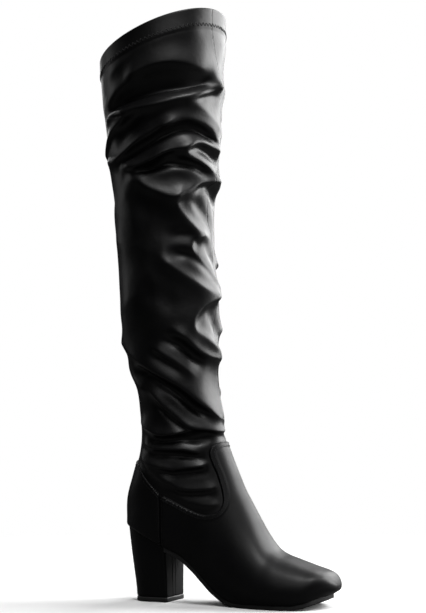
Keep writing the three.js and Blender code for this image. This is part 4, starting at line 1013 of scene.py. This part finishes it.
def make_cloth(name, color, roughness, threads):
    """Knitted or woven cloth: crossed waves at the thread's pitch."""
    material, tree, shader, place = new_material(name)
    waves = {
        index: add_node(tree, "ShaderNodeTexWave",
                        {"Vector": place, "Scale": threads, "Distortion": 0.6},
                        bands_direction=direction).outputs["Fac"]
        for index, direction in enumerate("XZ")
    }
    weave = add_node(tree, "ShaderNodeMath", waves, operation="MULTIPLY").outputs["Value"]
    set_inputs(tree, shader, {
        "Base Color": add_ramp(tree, weave, (0.0, times(color, 0.6)), (1.0, color)),
        "Roughness": roughness,
        "Normal": add_bump(tree, weave, 0.3, 0.0002),
        "Specular IOR Level": 0.2,
        "Sheen Weight": 0.05,
    })
    return material


def make_metal(name, color, roughness):
    """Plated zinc with fine brushing and slow tarnish."""
    material, tree, shader, place = new_material(name)
    fine = add_noise(tree, place, 600.0, 4.0)
    set_inputs(tree, shader, {
        "Base Color": add_ramp(tree, fine, (0.3, times(color, 0.7)), (0.8, color)),
        "Roughness": map_range(tree, fine, (0.0, 1.0), (roughness - 0.06, roughness + 0.12)),
        "Metallic": 1.0,
    })
    return material


shaft_leather = make_leather(
    "shaft_leather", (0.0016, 0.0016, 0.0018), (0.0036, 0.0035, 0.0038), (0.37, 0.47), 0.27,
    seams=True)
panel_leather = make_leather(
    "panel_leather", (0.0012, 0.0012, 0.0015), (0.0026, 0.0026, 0.0030), (0.44, 0.53), 0.19,
    creases=0.5)
sole_rubber = make_rubber("sole_rubber", (0.010, 0.010, 0.010), 0.5)
lining_cloth = make_cloth("lining_cloth", (0.022, 0.021, 0.022), 0.85, 420.0)
tape_cloth = make_cloth("tape_cloth", (0.014, 0.014, 0.015), 0.75, 900.0)
thread = make_cloth("thread", (0.012, 0.012, 0.0125), 0.65, 1500.0)
zip_metal = make_metal("zip_metal", (0.42, 0.42, 0.44), 0.3)
zip_plastic = make_rubber("zip_plastic", (0.012, 0.012, 0.013), 0.4)


# Shaft and lining


def seam_distance(points):
    """How far each place lies from the nearer of the front and back seams, round the shaft."""
    x, y, z = (points[..., i] for i in range(3))
    turn = np.arctan2(y, x - shaft_centre(z)) / math.pi
    from_front = np.abs(turn - front_seam_turn(z))
    return np.minimum(from_front, 1 - np.abs(turn)) * math.pi * radius_at(z)


def over_feather(points, gap):
    """Places kept a gap above the feather line, so that the foot is flat underneath."""
    points[..., 2] = np.maximum(points[..., 2], feather_z(points[..., 0]) + gap)
    return points


def make_shaft():
    """The shaft's outer wall: the folded skin on a grid, flattened where it passes under the
    foot, thickened over the hem, turned over the collar's edge by a half circle, and carried
    down inside as the hem's other half."""
    rows = even_rows(SHAFT_FIRST, LAST, SHAFT_SPACING)
    points = skin(rows[:, None], full_turn(SHAFT_COLUMNS), folded=True)
    normals = grid_normals(points)
    hem = ease(HEM_HEIGHT - below_collar(rows), -HEM_RAMP, HEM_RAMP)
    points = points + normals * (hem * HEM_STEP)[:, None, None]
    edge, out = points[-1], normals[-1]
    half = (WALL + HEM_STEP + HEM_TURN) / 2
    turn = np.linspace(0, np.pi, 9)[1:, None, None]
    rim = edge - out * half + half * (np.cos(turn) * out + np.sin(turn) * np.array([0, 0, 1]))
    inside = np.flatnonzero(below_collar(rows) < HEM_HEIGHT)[::-1][1:]
    turned = points[inside] - normals[inside] * 2 * half
    tucked = turned[-1:] + normals[inside[-1]][None] * HEM_TURN
    points = over_feather(np.vstack([points, rim, turned, tucked]), SHAFT_GAP)
    shaft = new_piece("shaft", points, grid_faces(len(points), SHAFT_COLUMNS), shaft_leather,
                      welded=False)
    keep_value(shaft, "seam", seam_distance(points))
    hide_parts("upper")


def make_lining():
    """The lining: the folded skin moved in by the wall, from the collar down into the toe,
    where it closes in a point. It faces inwards."""
    rows = even_rows(LINING_FIRST, LAST, LINING_SPACING)
    points = skin(rows[:, None], full_turn(LINING_COLUMNS), folded=True)
    loose = ease(below_collar(rows), HEM_HEIGHT, 3 * HEM_HEIGHT)
    points = points - grid_normals(points) * (WALL + LINING_SLACK * loose)[:, None, None]
    points = over_feather(points, LINING_GAP)
    toe = np.broadcast_to(points[0].mean(axis=0), (1, LINING_COLUMNS, 3))
    faces = grid_faces(len(points) + 1, LINING_COLUMNS)[:, ::-1]
    new_piece("lining", np.vstack([toe, points]), faces, lining_cloth)


# Panels


def outline_field(outer, inner):
    """A signed distance to a panel's outlines, one for each side of the foot. It is negative
    on the panel."""
    def field(points):
        x, y, z = points[..., 0], points[..., 1], points[..., 2]
        total = np.full(x.shape, FAR_OFF)
        for outline, on_side in ((outer, y <= 0), (inner, y > 0)):
            if outline is not None and on_side.any():
                total[on_side] = outline_distance(outline, x[on_side], z[on_side])
        return total
    return field


def above_feather(points):
    """How far places stand above the lowest line that a panel reaches."""
    return points[..., 2] - feather_z(points[..., 0]) - PANEL_LIFT


def rim_of(quads, keep, count):
    """Which corners the kept quads use, and which of these the other quads use too."""
    used, beside = np.zeros((2, count), bool)
    used[quads[keep]] = True
    beside[quads[~keep]] = True
    return used, used & beside


def slide_to_edge(field, at, angle):
    """Moves places over the skin to where the field is nought, by Newton steps whose two
    directions are weighed by the skin's own stretch."""
    small = STEP / 4
    for _ in range(5):
        here = skin(at, angle)
        value = field(here)
        along = np.linalg.norm(skin(at + STEP, angle) - here, axis=-1) / STEP + 1e-9
        across = np.linalg.norm(skin(at, angle + STEP) - here, axis=-1) / STEP + 1e-9
        slope_at = (field(skin(at + small, angle)) - value) / small / along
        slope_angle = (field(skin(at, angle + small)) - value) / small / across
        size = np.maximum(slope_at ** 2 + slope_angle ** 2, 0.05)
        step = np.clip(-value / size, -LONGEST_SLIDE, LONGEST_SLIDE)
        at = np.maximum(at + step * slope_at / along, 0.001)
        angle = angle + step * slope_angle / across
    return at, angle


def make_panel(name, outline, low, high, spacing, columns, band=None):
    """A panel cut from the skin. Of a fine grid of sections and angles, the quads whose
    middle lies inside the outline stay. Corners on the rim slide onto the outline itself.
    The panel rises from the skin at its outline as a quarter round, meets the sole at most
    of its thickness, and has a back."""
    def field(points):
        return np.maximum(outline(points), -above_feather(points))

    rows = even_rows(low, high, spacing)
    at, angle = np.meshgrid(rows, full_turn(columns), indexing="ij")
    at, angle = at.ravel(), angle.ravel()
    quads = grid_faces(len(rows), columns)
    keep = field(skin(at, angle))[quads].mean(axis=1) < 0
    for _ in range(3):
        keep &= ~rim_of(quads, keep, len(at))[1][quads].all(axis=1)
    used, rim = rim_of(quads, keep, len(at))
    at[rim], angle[rim] = slide_to_edge(field, at[rim], angle[rim])
    place, out = skin(at[used], angle[used]), skin_normal(at[used], angle[used])
    depth = np.maximum(-outline(place), np.where(rim[used], 0, LEAST_DEPTH))
    t = np.clip(depth / PANEL_ROUNDING, 0, 1)
    height = PANEL_HEIGHT * np.sqrt(1 - (1 - t) ** 2)
    whole = ease(above_feather(place), 0, WHOLE_ABOVE_SOLE)
    height *= SHARE_AT_SOLE + (1 - SHARE_AT_SOLE) * whole
    if band is not None:
        height = height + band(place, depth)
    behind = ~rim[used]
    front = (np.cumsum(used) - 1)[quads[keep]]
    back_number = np.where(behind, np.cumsum(behind) - 1 + len(place), np.arange(len(place)))
    points = np.vstack([place + out * height[:, None], (place - out * PANEL_BACK)[behind]])
    faces = np.vstack([front, back_number[front][:, ::-1]])
    return new_piece(name, points, faces, panel_leather)


def folded_edge(outer, inner):
    """A raised band along a panel's upper edge, as wide as its two rows of stitches."""
    def band(place, depth):
        x, y, z = place.T
        line = np.where(y <= 0, line_distance(outer, x, z), line_distance(inner, x, z))
        fall = ease(line, EDGE_BAND - 0.0005, EDGE_BAND + 0.0005)
        return EDGE_BAND_RISE * (1 - fall) * ease(depth, 0, 0.001)
    return band


vamp_lines = (smooth_line(side_view(VAMP_TOP_OUTER)[:-1]),
              smooth_line(side_view(VAMP_TOP_INNER)[1:-1]))
counter_lines = (smooth_line(side_view(COUNTER_TOP_OUTER)[1:]),
                 smooth_line(side_view(COUNTER_TOP_INNER)[1:]))
vamp_field = outline_field(OUTLINES["vamp_outer"], OUTLINES["vamp_inner"])
counter_field = outline_field(OUTLINES["counter_outer"], OUTLINES["counter_inner"])
facing_field = outline_field(None, OUTLINES["facing"])

make_shaft()
make_lining()
vamp = make_panel("vamp_panel", vamp_field, 0.0, 15.5, 0.0013, 224, folded_edge(*vamp_lines))
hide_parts("vamp")
counter = make_panel("counter_panel", counter_field, 9.0, 19.5, 0.0013, 224)
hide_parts("heel_counter")
facing = make_panel("facing_panel", facing_field, 11.0, 26.0, 0.0016, 240)
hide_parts("zip_facing")


# Rows of stitches


LOOKUP_AT = np.linspace(0.05, LAST, 620)
LOOKUP_ANGLE = full_turn(120)
LOOKUP = skin(LOOKUP_AT[:, None], LOOKUP_ANGLE)
section_at_height = curve_through(
    section_curves[1](np.linspace(8, LAST, 900)), np.linspace(8, LAST, 900))


def locate(x, z, inner, start=None):
    """The section and angle of side-view places: the nearest of a coarse grid of the skin, or
    a given start, brought to the place by Newton steps in both."""
    if start is None:
        rows, columns = np.nonzero(LOOKUP[..., 1] > 0 if inner else LOOKUP[..., 1] < 0)
        grid = LOOKUP[rows, columns]
        away = (grid[None, :, 0] - x[:, None]) ** 2 + (grid[None, :, 2] - z[:, None]) ** 2
        best = away.argmin(axis=1)
        start = LOOKUP_AT[rows[best]], LOOKUP_ANGLE[columns[best]]
    at, angle = start
    for _ in range(8):
        here = skin(at, angle)
        by_at = (skin(at + STEP, angle) - here) / STEP
        by_angle = (skin(at, angle + STEP) - here) / STEP
        off_x, off_z = x - here[..., 0], z - here[..., 2]
        size = by_at[..., 0] * by_angle[..., 2] - by_at[..., 2] * by_angle[..., 0]
        size = np.where(np.abs(size) < 1e-7, 1e-7, size)
        at_step = (off_x * by_angle[..., 2] - off_z * by_angle[..., 0]) / size
        angle_step = (by_at[..., 0] * off_z - by_at[..., 2] * off_x) / size
        at = np.clip(at + np.clip(at_step, -0.5, 0.5), 0.01, LAST - STEP)
        angle = angle + np.clip(angle_step, -0.2, 0.2)
    return at, angle


def spaced(at, angle, spacing, folded=False, offset=0.0):
    """Places at an even spacing along a path over the skin."""
    angle = np.unwrap(angle)
    reach = reach_along(skin(at, angle, folded))
    steps = np.arange(offset, reach[-1], spacing)
    return np.interp(steps, reach, at), np.interp(steps, reach, angle)


def skin_frames(at, angle, folded=False):
    """Places on the skin, the direction along the row of places, and the outward direction."""
    here, out = skin(at, angle, folded), skin_normal(at, angle, folded)
    return here, square_to(np.gradient(here, axis=0), out), out


def stitch_row(name, at, angle, height=STITCH_HEIGHT):
    """A row of stitches over the skin: short rounded bars that lie along the path."""
    here, along, out = skin_frames(*spaced(at, angle, STITCH_PITCH))
    axes = np.stack([along, np.cross(out, along), out], axis=1)
    place_many(name, capsule(STITCH_LENGTH, STITCH_RADIUS), here + out * height, axes, thread)


def across_edge(field, start_angle, end_angle, distance, low, high):
    """The path round the front or back, below a panel's upper edge by a distance: at each
    angle the section is found by halving the span between low and high."""
    angle = np.linspace(start_angle, end_angle, 40)
    low, high = np.full(40, low), np.full(40, high)
    for _ in range(30):
        at = (low + high) / 2
        past = field(skin(at, angle)) > -distance
        high = np.where(past, at, high)
        low = np.where(past, low, at)
    return at, angle


def edge_path(lines, field, low, high, ahead, distance):
    """The path round a panel's upper edge at a distance inside it: from the side seam, over
    the front or the back, to the zip. ahead is 1 for a panel in front of them, -1 behind."""
    parts = []
    for line, inner in zip(lines, (False, True)):
        path = inset(line, distance)[np.cumsum(line[:, 1] > foot_z(TONGUE_FROM)) == 0]
        side = zip_x(path[:, 1]) + ahead * TAPE_EDGE if inner else foot_x(SIDE_SEAM)
        path = path[ahead * (path[:, 0] - side) > 0.001][::ahead]
        parts.append(locate(path[:, 0], path[:, 1], inner))
    (outer_at, outer_angle), (inner_at, inner_angle) = parts
    if ahead > 0:
        inner_angle = inner_angle - 2 * np.pi
    at, angle = across_edge(field, outer_angle[-1], inner_angle[-1], distance, low, high)
    return (np.concatenate([outer_at, at[1:-1], inner_at[::-1]]),
            np.concatenate([outer_angle, angle[1:-1], inner_angle[::-1]]))


def side_row(name, x, z, inner, height=STITCH_HEIGHT):
    """A row of stitches through side-view places."""
    stitch_row(name, *locate(x, z, inner), height)


for index, distance in enumerate(VAMP_ROWS):
    path = edge_path(vamp_lines, vamp_field, 11.0, 15.4, 1, distance)
    stitch_row(f"vamp_stitches_{index + 1}", *path, STITCH_HEIGHT + EDGE_BAND_RISE)
for index, distance in enumerate(COUNTER_ROWS):
    path = edge_path(counter_lines, counter_field, 12.0, 19.4, -1, distance)
    stitch_row(f"counter_stitches_{index + 1}", *path)
seam_x = np.full(60, float(foot_x(SIDE_SEAM)))
seam_z = np.linspace(feather_z(foot_x(SIDE_SEAM)) + 0.002, foot_z(0.64), 60)
side_row("side_seam_stitches_front", seam_x + SEAM_MARGIN, seam_z, False)
side_row("side_seam_stitches_back", seam_x - SEAM_MARGIN, seam_z, False)


def hem_zigzag(name, height, lift):
    """Zigzag stitches round the collar: bars that lean left and right by turns."""
    angle = np.linspace(0, 2 * np.pi, 1200)
    at = np.full(1200, float(section_at_height(shaft_z(1.0) - height)))
    here, along, out = skin_frames(*spaced(at, angle, ZIGZAG_PITCH, True), True)
    lean = np.where(np.arange(len(here)) % 2 == 0, 1.0, -1.0)[:, None]
    bar = along * ZIGZAG_ALONG + np.cross(out, along) * lean * ZIGZAG_ACROSS
    axes = np.stack([bar, np.cross(out, bar), out], axis=1)
    place_many(name, capsule(ZIGZAG_LENGTH, ZIGZAG_RADIUS), here + out * lift, axes, thread)


hem_zigzag("hem_stitches_outside", HEM_HEIGHT - ZIGZAG_OUTSIDE, HEM_STEP + ZIGZAG_LIFT)
hem_zigzag("hem_stitches_inside", HEM_HEIGHT - ZIGZAG_INSIDE,
           -(WALL + HEM_TURN + ZIGZAG_LIFT))


# Zip


def skin_strip(name, low, high, shift, half, rows, profile, material):
    """A strip beside the zip: a side-view grid carried onto the skin, with its height across
    given as pairs of place and height, low at both ends, and closed by a back."""
    z = np.linspace(low, high, rows)
    middle = locate(zip_x(z) + shift, z, True)
    across, height = np.array(profile).T
    at, angle = np.stack([
        locate(zip_x(z) + shift + place * half, z, True, middle) for place in across], axis=-1)
    here, out = skin(at, angle), skin_normal(at, angle)
    share = np.ones((rows, 1))
    share[[0, -1]] = STRIP_END
    front = here + out * (height * share)[..., None]
    back = here - out * STRIP_BACK
    return loft(name, np.concatenate([front, back[:, ::-1]], axis=1), material)


def zip_teeth():
    """The closed chain: two rows of rounded bars across the zip, half a pitch apart."""
    z = np.linspace(ZIP_LOW + 0.003, ZIP_HIGH - 0.001, 900)
    at, angle = locate(zip_x(z), z, True)
    for index, side in enumerate((-1, 1)):
        here, along, out = skin_frames(
            *spaced(at, angle, TOOTH_PITCH, offset=TOOTH_PITCH / 2 * index))
        across = np.cross(out, along)
        centres = here + out * TOOTH_HEIGHT + across * side * TOOTH_ASIDE
        axes = np.stack([across, -along, out], axis=1)
        place_many(f"zip_teeth_{index + 1}", capsule(TOOTH_LENGTH, TOOTH_RADIUS), centres, axes,
                   zip_plastic)


def make_slider():
    """The slider: a rounded wedge over the chain, two ears that arch over it and the pin
    between them."""
    low, high = (np.array(corner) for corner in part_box("zip_slider"))
    middle = (low + high) / 2
    t = np.linspace(-1, 1, 23)
    edge = np.sqrt(np.clip(1 - np.abs(t) ** 6, 0, 1))
    width = (SLIDER_HALF_WIDTH - SLIDER_TAPER * (1 - t) / 2) * (0.55 + 0.45 * edge)
    depth = SLIDER_DEPTH / 2 * (0.35 + 0.65 * edge)
    rings = rounded_rings(t * SLIDER_HALF_LENGTH, width, depth, 3.6, 36)
    rings += [middle[0], low[1] + SLIDER_DEPTH / 2, middle[2]]
    slider = loft("zip_slider_body", rings, zip_metal)
    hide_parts("zip_slider")
    pin_x, pin_y, pin_z = PIN_CENTRE
    foot_y = low[1] + EAR_FOOT
    turn = np.linspace(-EAR_PAST_FOOT, np.pi + EAR_PAST_FOOT, 19)
    for index, side in enumerate((-1, 1)):
        path = np.stack([
            np.full(19, pin_x + side * EAR_ASIDE),
            foot_y + (pin_y + EAR_OVER_PIN - foot_y) * np.sin(turn),
            pin_z + EAR_HALF_REACH * (np.cos(turn) - 0.5)], axis=1)
        ear = tube_rings(path, EAR_HALF_WIDTH, EAR_HALF_DEPTH, [1, 0, 0])
        loft(f"zip_slider_ear_{index + 1}", ear, zip_metal)
    across = np.linspace(-PIN_HALF_LENGTH, PIN_HALF_LENGTH, 7)
    path = np.array(PIN_CENTRE) + np.stack([across, 0 * across, 0 * across], axis=1)
    pin = tube_rings(path, PIN_RADIUS, PIN_RADIUS, [0, 0, 1])
    loft("zip_slider_pin", pin, zip_metal)


def make_pull_tab():
    """The pull tab: a ring round the pin and a flat blade with a shallow sunk field."""
    pin_x, pin_y, pin_z = PIN_CENTRE
    turn = full_turn(28)
    ring = np.stack([
        np.full(28, pin_x), pin_y + EYE_RADIUS * np.cos(turn),
        pin_z + EYE_RADIUS * np.sin(turn)], axis=1)
    eye = tube_rings(ring, EYE_HALF_WIDTH, EYE_WIRE, [1, 0, 0])
    eye_piece = new_piece("zip_tab_eye", np.vstack([eye, eye[:1]]), grid_faces(29, 14),
                          zip_metal, "zip_pull")
    point_faces_out(eye_piece.data)
    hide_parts("zip_pull_tab")
    t = np.linspace(0, 1, 40)[:, None]
    tip = np.sqrt(np.clip(1 - np.clip((t - 0.85) / 0.15, 0, 1) ** 2, 0.02, 1))
    half = TAB_WIDTH / 2 * (0.56 + 0.44 * ease(t, 0.03, 0.2)) * tip
    turn = full_turn(56)
    across, over = round_power(np.cos(turn), 5.0), round_power(np.sin(turn), 5.0)
    sunk = ease(t, 0.25, 0.31) * (1 - ease(t, 0.80, 0.86)) * (1 - ease(np.abs(across), 0.5, 0.62))
    thick = TAB_HALF_THICKNESS * np.maximum(tip, 0.3) - TAB_SUNK * sunk
    rings = np.stack(np.broadcast_arrays(
        pin_x + half * across, pin_y + thick * over, pin_z - TAB_DROP - TAB_LENGTH * t), axis=-1)
    loft("zip_tab_blade", rings, zip_metal, "zip_pull")


def metal_stop(name, z):
    """A small clamp over the chain's end."""
    at, angle = locate(zip_x(np.array([z])), np.array([z]), True)
    here, out = skin(at, angle)[0], skin_normal(at, angle)[0]
    t = np.linspace(-1, 1, 11)
    edge = np.sqrt(np.clip(1 - t ** 4, 0, 1))
    rings = rounded_rings(
        t * STOP_HALF_LENGTH, STOP_HALF_WIDTH * (0.6 + 0.4 * edge),
        STOP_HALF_DEPTH * (0.4 + 0.6 * edge), 3.0)
    up = square_to(np.array([0.0, 0.0, 1.0]), out)
    axes = np.stack([np.cross(up, out), out, up])
    loft(name, here + out * STOP_LIFT + rings @ axes, zip_metal)


tape = skin_strip("zip_tape", ZIP_LOW, ZIP_HIGH + 0.004, 0.0, TAPE_EDGE + TAPE_OVERLAP, 150,
                  TAPE_PROFILE, tape_cloth)
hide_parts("zip_chain")
skin_strip("zip_back_lip", foot_z(0.80), ZIP_HIGH + 0.004, -TAPE_EDGE - LIP_HALF, LIP_HALF, 130,
           LIP_PROFILE, panel_leather)
zip_teeth()
row_z = np.linspace(foot_z(0.64), foot_z(FACING_TO) - 0.012, 160)
front_x = zip_x(row_z) + TAPE_EDGE
side_row("zip_stitches_front", front_x + ZIP_MARGIN, row_z, True)
side_row("zip_stitches_facing_front", front_x + FACING_WIDTH - FACING_MARGIN, row_z, True)
row_z = np.linspace(foot_z(0.82), ZIP_HIGH - 0.002, 160)
side_row("zip_stitches_back", zip_x(row_z) - TAPE_EDGE - LIP_HALF, row_z, True,
         LIP_STITCH_HEIGHT)
make_slider()
make_pull_tab()
metal_stop("zip_top_stop", ZIP_HIGH - 0.0005)
metal_stop("zip_bottom_stop", ZIP_LOW + 0.003)


# Heel and sole


def heel_plan():
    """The heel's plan at its foot: a squared half circle at the back, straight sides, and a
    breast between small round corners, with close places at the two cover seams."""
    back, front = (float(foot_x(HEEL_SECTIONS[0, i])) for i in (1, 2))
    half = HEEL_SECTIONS[0, 3] * BALL_WIDTH
    turn_x = float(foot_x(HEEL_ROUND_FROM))
    far, wide = front - HEEL_CORNER, half - HEEL_CORNER
    arc = np.linspace(-np.pi / 2, np.pi / 2, 61)
    side = np.linspace(0, 1, 12)[1:]
    corner = np.linspace(0, np.pi / 2, 7)[1:]
    turned, straight = HEEL_CORNER * np.sin(corner), HEEL_CORNER * np.cos(corner)
    near = np.linspace(-0.0012, 0.0012, 13)
    breast = np.sort(np.concatenate(
        [np.linspace(-wide, wide, 26)] + [seam + near for seam in BREAST_SEAMS]))[::-1]
    return np.vstack([
        np.column_stack([turn_x - (turn_x - back) * round_power(np.cos(arc), HEEL_POWER),
                         half * round_power(np.sin(arc), HEEL_POWER)]),
        np.column_stack([turn_x + side * (far - turn_x), np.full(11, half)]),
        np.column_stack([far + turned, wide + straight]),
        np.column_stack([np.full(len(breast) - 1, front), breast[1:]]),
        np.column_stack([far + straight, -wide - turned]),
        np.column_stack([far - side[:-1] * (far - turn_x), np.full(10, -half)]),
    ])


HEEL_PLAN = heel_plan()
heel_curves = [curve_through(HEEL_SECTIONS[:, 0], HEEL_SECTIONS[:, i]) for i in (1, 2, 3)]


def heel_at(z):
    """The heel's plan where each of its points has a height of its own: the plan at the foot
    stretched back, forward and sideways to the sections, with the cover seams pressed in."""
    back, front, half = (curve(z / ANKLE_HEIGHT) for curve in heel_curves)
    foot_back, foot_front, foot_half = HEEL_SECTIONS[0, 1:]
    turn_x = float(foot_x(HEEL_ROUND_FROM))
    x, y = HEEL_PLAN.T
    stretch = np.where(
        x < turn_x,
        (turn_x - foot_x(back)) / (turn_x - foot_x(foot_back)),
        (foot_x(front) - turn_x) / (foot_x(foot_front) - turn_x))
    on_breast = x > foot_x(foot_front) - 0.0002
    pressed = sum(np.exp(-((y - seam) / BREAST_SEAM_WIDTH) ** 2) for seam in BREAST_SEAMS)
    x = turn_x + (x - turn_x) * stretch - BREAST_SEAM_DEPTH * pressed * on_breast
    return x, y * half / foot_half


def drawn_in(x, y, cut):
    """A plan made smaller all round by a distance."""
    away = unit(np.stack([x - x.mean(), y - y.mean()], axis=1))
    return x - away[:, 0] * cut, y - away[:, 1] * cut


def make_heel_block():
    """The wrapped heel: its plan carried up from the top piece to the feather line, with the
    bottom edge rounded and two cover seams down the breast."""
    base = TOP_PIECE_THICKNESS + PANEL_LIFT

    def level(x, t):
        return base + t * (feather_z(x) - SOLE_GAP - base)

    rings = []
    for t in np.append(np.linspace(0, 0.02, 5), np.linspace(0.045, 1, 40)):
        x, y = heel_at(level(heel_at(np.full(len(HEEL_PLAN), base + t * 0.05))[0], t))
        x, y = drawn_in(x, y, HEEL_ROUNDING * (1 - np.sqrt(ease(t, 0.0, 0.02))))
        rings.append(np.stack([x, y, level(x, t)], axis=1))
    heel = loft("heel_cover", rings, panel_leather)
    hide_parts("heel_block")


def make_top_piece():
    """The heel's wearing piece: the heel's plan a little larger, with rounded edges."""
    rings = []
    for t in np.linspace(0, 1, 11):
        edge = TREAD_ROUNDING * (1 - math.sqrt(1 - abs(2 * t - 1) ** 5))
        x, y = drawn_in(*HEEL_PLAN.T, edge - TREAD_MARGIN)
        rings.append(np.stack([x, y, np.full(len(x), t * TOP_PIECE_THICKNESS)], axis=1))
    piece = loft("heel_tread", rings, sole_rubber)
    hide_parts("heel_top_piece")


def feather_crossing(side):
    """The line where one side of the skin, going up from below, crosses the feather line."""
    at = np.concatenate([np.linspace(0.03, 4, 90), np.linspace(4.05, 15.5, 120)])
    points = skin(at[:, None], side * np.pi * (1 - np.linspace(0, 0.76, 260)))
    height = points[..., 2] - feather_z(points[..., 0])
    first = np.argmax(height > 0, axis=1)
    rows = np.flatnonzero((height > 0).any(axis=1) & (first > 0))
    above, below = first[rows], first[rows] - 1
    share = height[rows, below] / (height[rows, below] - height[rows, above])
    line = points[rows, below] + (points[rows, above] - points[rows, below]) * share[:, None]
    return line[:, :2]


def sole_outline():
    """The sole's plan: the feather line of both sides, from the heel's breast round the tip
    and back, moved outwards by the sole's margin, and closed across."""
    outer, inner = feather_crossing(1), feather_crossing(-1)
    tip = np.array([[max(outer[0, 0], inner[0, 0]) + 0.0002, (outer[0, 1] + inner[0, 1]) / 2]])
    start = float(foot_x(HEEL_SECTIONS[2, 2])) + 0.0004
    outer, inner = outer[outer[:, 0] > start], inner[inner[:, 0] > start]
    line = np.vstack([outer[::-1], tip, inner])
    reach = reach_along(line)
    steps = np.linspace(0, reach[-1], 260)
    line = np.stack([np.interp(steps, reach, line[:, i]) for i in (0, 1)], axis=1)
    line = inset(line, SOLE_MARGIN)
    across = np.linspace(0, 1, 24)[1:-1, None]
    return np.vstack([line, line[-1] * (1 - across) + line[0] * across])


def middle_of(line):
    """For each place of a plan, the place halfway between both sides at its length."""
    x, y = line[np.argsort(line[:, 0])].T
    stations = np.linspace(x[0] + 0.001, x[-1] - 0.001, 60)
    near = [y[np.abs(x - station) < 0.004] for station in stations]
    middle = [(side.min() + side.max()) / 2 for side in near]
    return np.stack([line[:, 0], np.interp(line[:, 0], stations, middle)], axis=1)


def make_outsole():
    """The sole: its plan at rings drawn in from the edge, over the top, down the edge with
    rounded corners, and across the underside."""
    line = sole_outline()
    inward = middle_of(line) - line
    size = np.maximum(np.hypot(*inward.T), 0.001)[:, None]
    top, under = feather_z(line[:, 0]) - SOLE_GAP, underside_z(line[:, 0])
    shares = (0.8, 0.4, 0.1)
    rings = [np.column_stack([line + inward * share, top]) for share in shares]
    for t in np.linspace(0, np.pi, 11):
        flat = line + inward / size * SOLE_ROUNDING * (1 - np.sin(t) ** 0.5)
        rings.append(np.column_stack([flat, top + (under - top) * (1 - np.cos(t)) / 2]))
    rings += [np.column_stack([line + inward * share, under]) for share in shares[::-1]]
    piece = loft("outsole_rubber", rings, sole_rubber)
    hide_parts("outsole")


make_heel_block()
make_top_piece()
make_outsole()

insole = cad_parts["insole"]
insole.data.materials.clear()
insole.data.materials.append(lining_cloth)


# Floor, lights and camera


def mix_shaders(tree, share, first, second):
    """The first shader where the share is nought, the second where it is one."""
    inputs = {"Fac": share, 1: first, 2: second}
    return add_node(tree, "ShaderNodeMixShader", inputs).outputs["Shader"]


def make_floor():
    """A flat pale floor that fades out round the boot: a square, clear past a soft ring. It
    throws less light back onto the boot than it shows."""
    mesh = bpy.data.meshes.new("floor")
    corners = [(x * FLOOR_HALF, y * FLOOR_HALF, 0)
               for x, y in ((-1, -1), (1, -1), (1, 1), (-1, 1))]
    mesh.from_pydata(corners, [], [(0, 1, 2, 3)])
    material, tree, shader, place = new_material("pale_floor")
    set_inputs(tree, shader, {"Base Color": (0.82, 0.82, 0.82, 1), "Roughness": 0.7})
    away = add_node(tree, "ShaderNodeVectorMath", {0: place}, operation="LENGTH")
    fade = map_range(tree, away.outputs["Value"], FLOOR_FADE, interpolation_type="SMOOTHSTEP")
    dim = add_node(tree, "ShaderNodeBsdfDiffuse", {"Color": (0.10, 0.10, 0.10, 1)})
    clear = add_node(tree, "ShaderNodeBsdfTransparent")
    seen = add_node(tree, "ShaderNodeLightPath").outputs["Is Camera Ray"]
    shown = mix_shaders(tree, seen, dim.outputs["BSDF"], shader.outputs["BSDF"])
    surface = mix_shaders(tree, fade, shown, clear.outputs["BSDF"])
    set_inputs(tree, tree.nodes["Material Output"], {"Surface": surface})
    mesh.materials.append(material)
    floor = bpy.data.objects.new("floor", mesh)
    bpy.context.scene.collection.objects.link(floor)


def make_world():
    """Soft dim light all round, and a plain white backdrop where nothing else stands."""
    world = bpy.data.worlds.new("studio")
    bpy.context.scene.world = world
    world.use_nodes = True
    tree = world.node_tree
    dim = tree.nodes["Background"]
    set_inputs(tree, dim, {"Color": (0.95, 0.97, 1.0, 1), "Strength": 0.022})
    pale = add_node(tree, "ShaderNodeBackground", {"Color": (1.0, 1.0, 1.0, 1), "Strength": 1.0})
    seen = add_node(tree, "ShaderNodeLightPath").outputs["Is Camera Ray"]
    surface = mix_shaders(tree, seen, dim.outputs["Background"], pale.outputs["Background"])
    set_inputs(tree, tree.nodes["World Output"], {"Surface": surface})


def point_towards(thing, target):
    """Turns a light or the camera to look at a place."""
    direction = Vector(target) - thing.location
    thing.rotation_euler = direction.to_track_quat("-Z", "Y").to_euler()


def add_light(name, azimuth, elevation, distance, width, height, power):
    """A soft light at an azimuth, elevation and distance from its target, as the camera is
    placed, of a width and height."""
    a, e = math.radians(azimuth), math.radians(elevation)
    data = bpy.data.lights.new(name, "AREA")
    data.shape = "RECTANGLE"
    data.size, data.size_y = width, height
    data.energy = power
    light = bpy.data.objects.new(name, data)
    way = Vector((math.sin(a) * math.cos(e), -math.cos(a) * math.cos(e), math.sin(e)))
    light.location = Vector(LIGHT_TARGET) + distance * way
    bpy.context.scene.collection.objects.link(light)
    point_towards(light, LIGHT_TARGET)


def make_camera():
    """The camera at the photograph's viewing angle."""
    a = math.radians(CAMERA_AZIMUTH)
    camera = bpy.data.objects.new("camera", bpy.data.cameras.new("camera"))
    camera.data.lens = CAMERA_LENS
    camera.location = (
        CAMERA_DISTANCE * math.sin(a), -CAMERA_DISTANCE * math.cos(a), CAMERA_HEIGHT)
    bpy.context.scene.collection.objects.link(camera)
    bpy.context.scene.camera = camera
    point_towards(camera, CAMERA_TARGET)


bpy.context.scene.view_settings.view_transform = "Standard"
make_floor()
make_camera()
for light in LIGHTS:
    add_light(*light)
make_world()
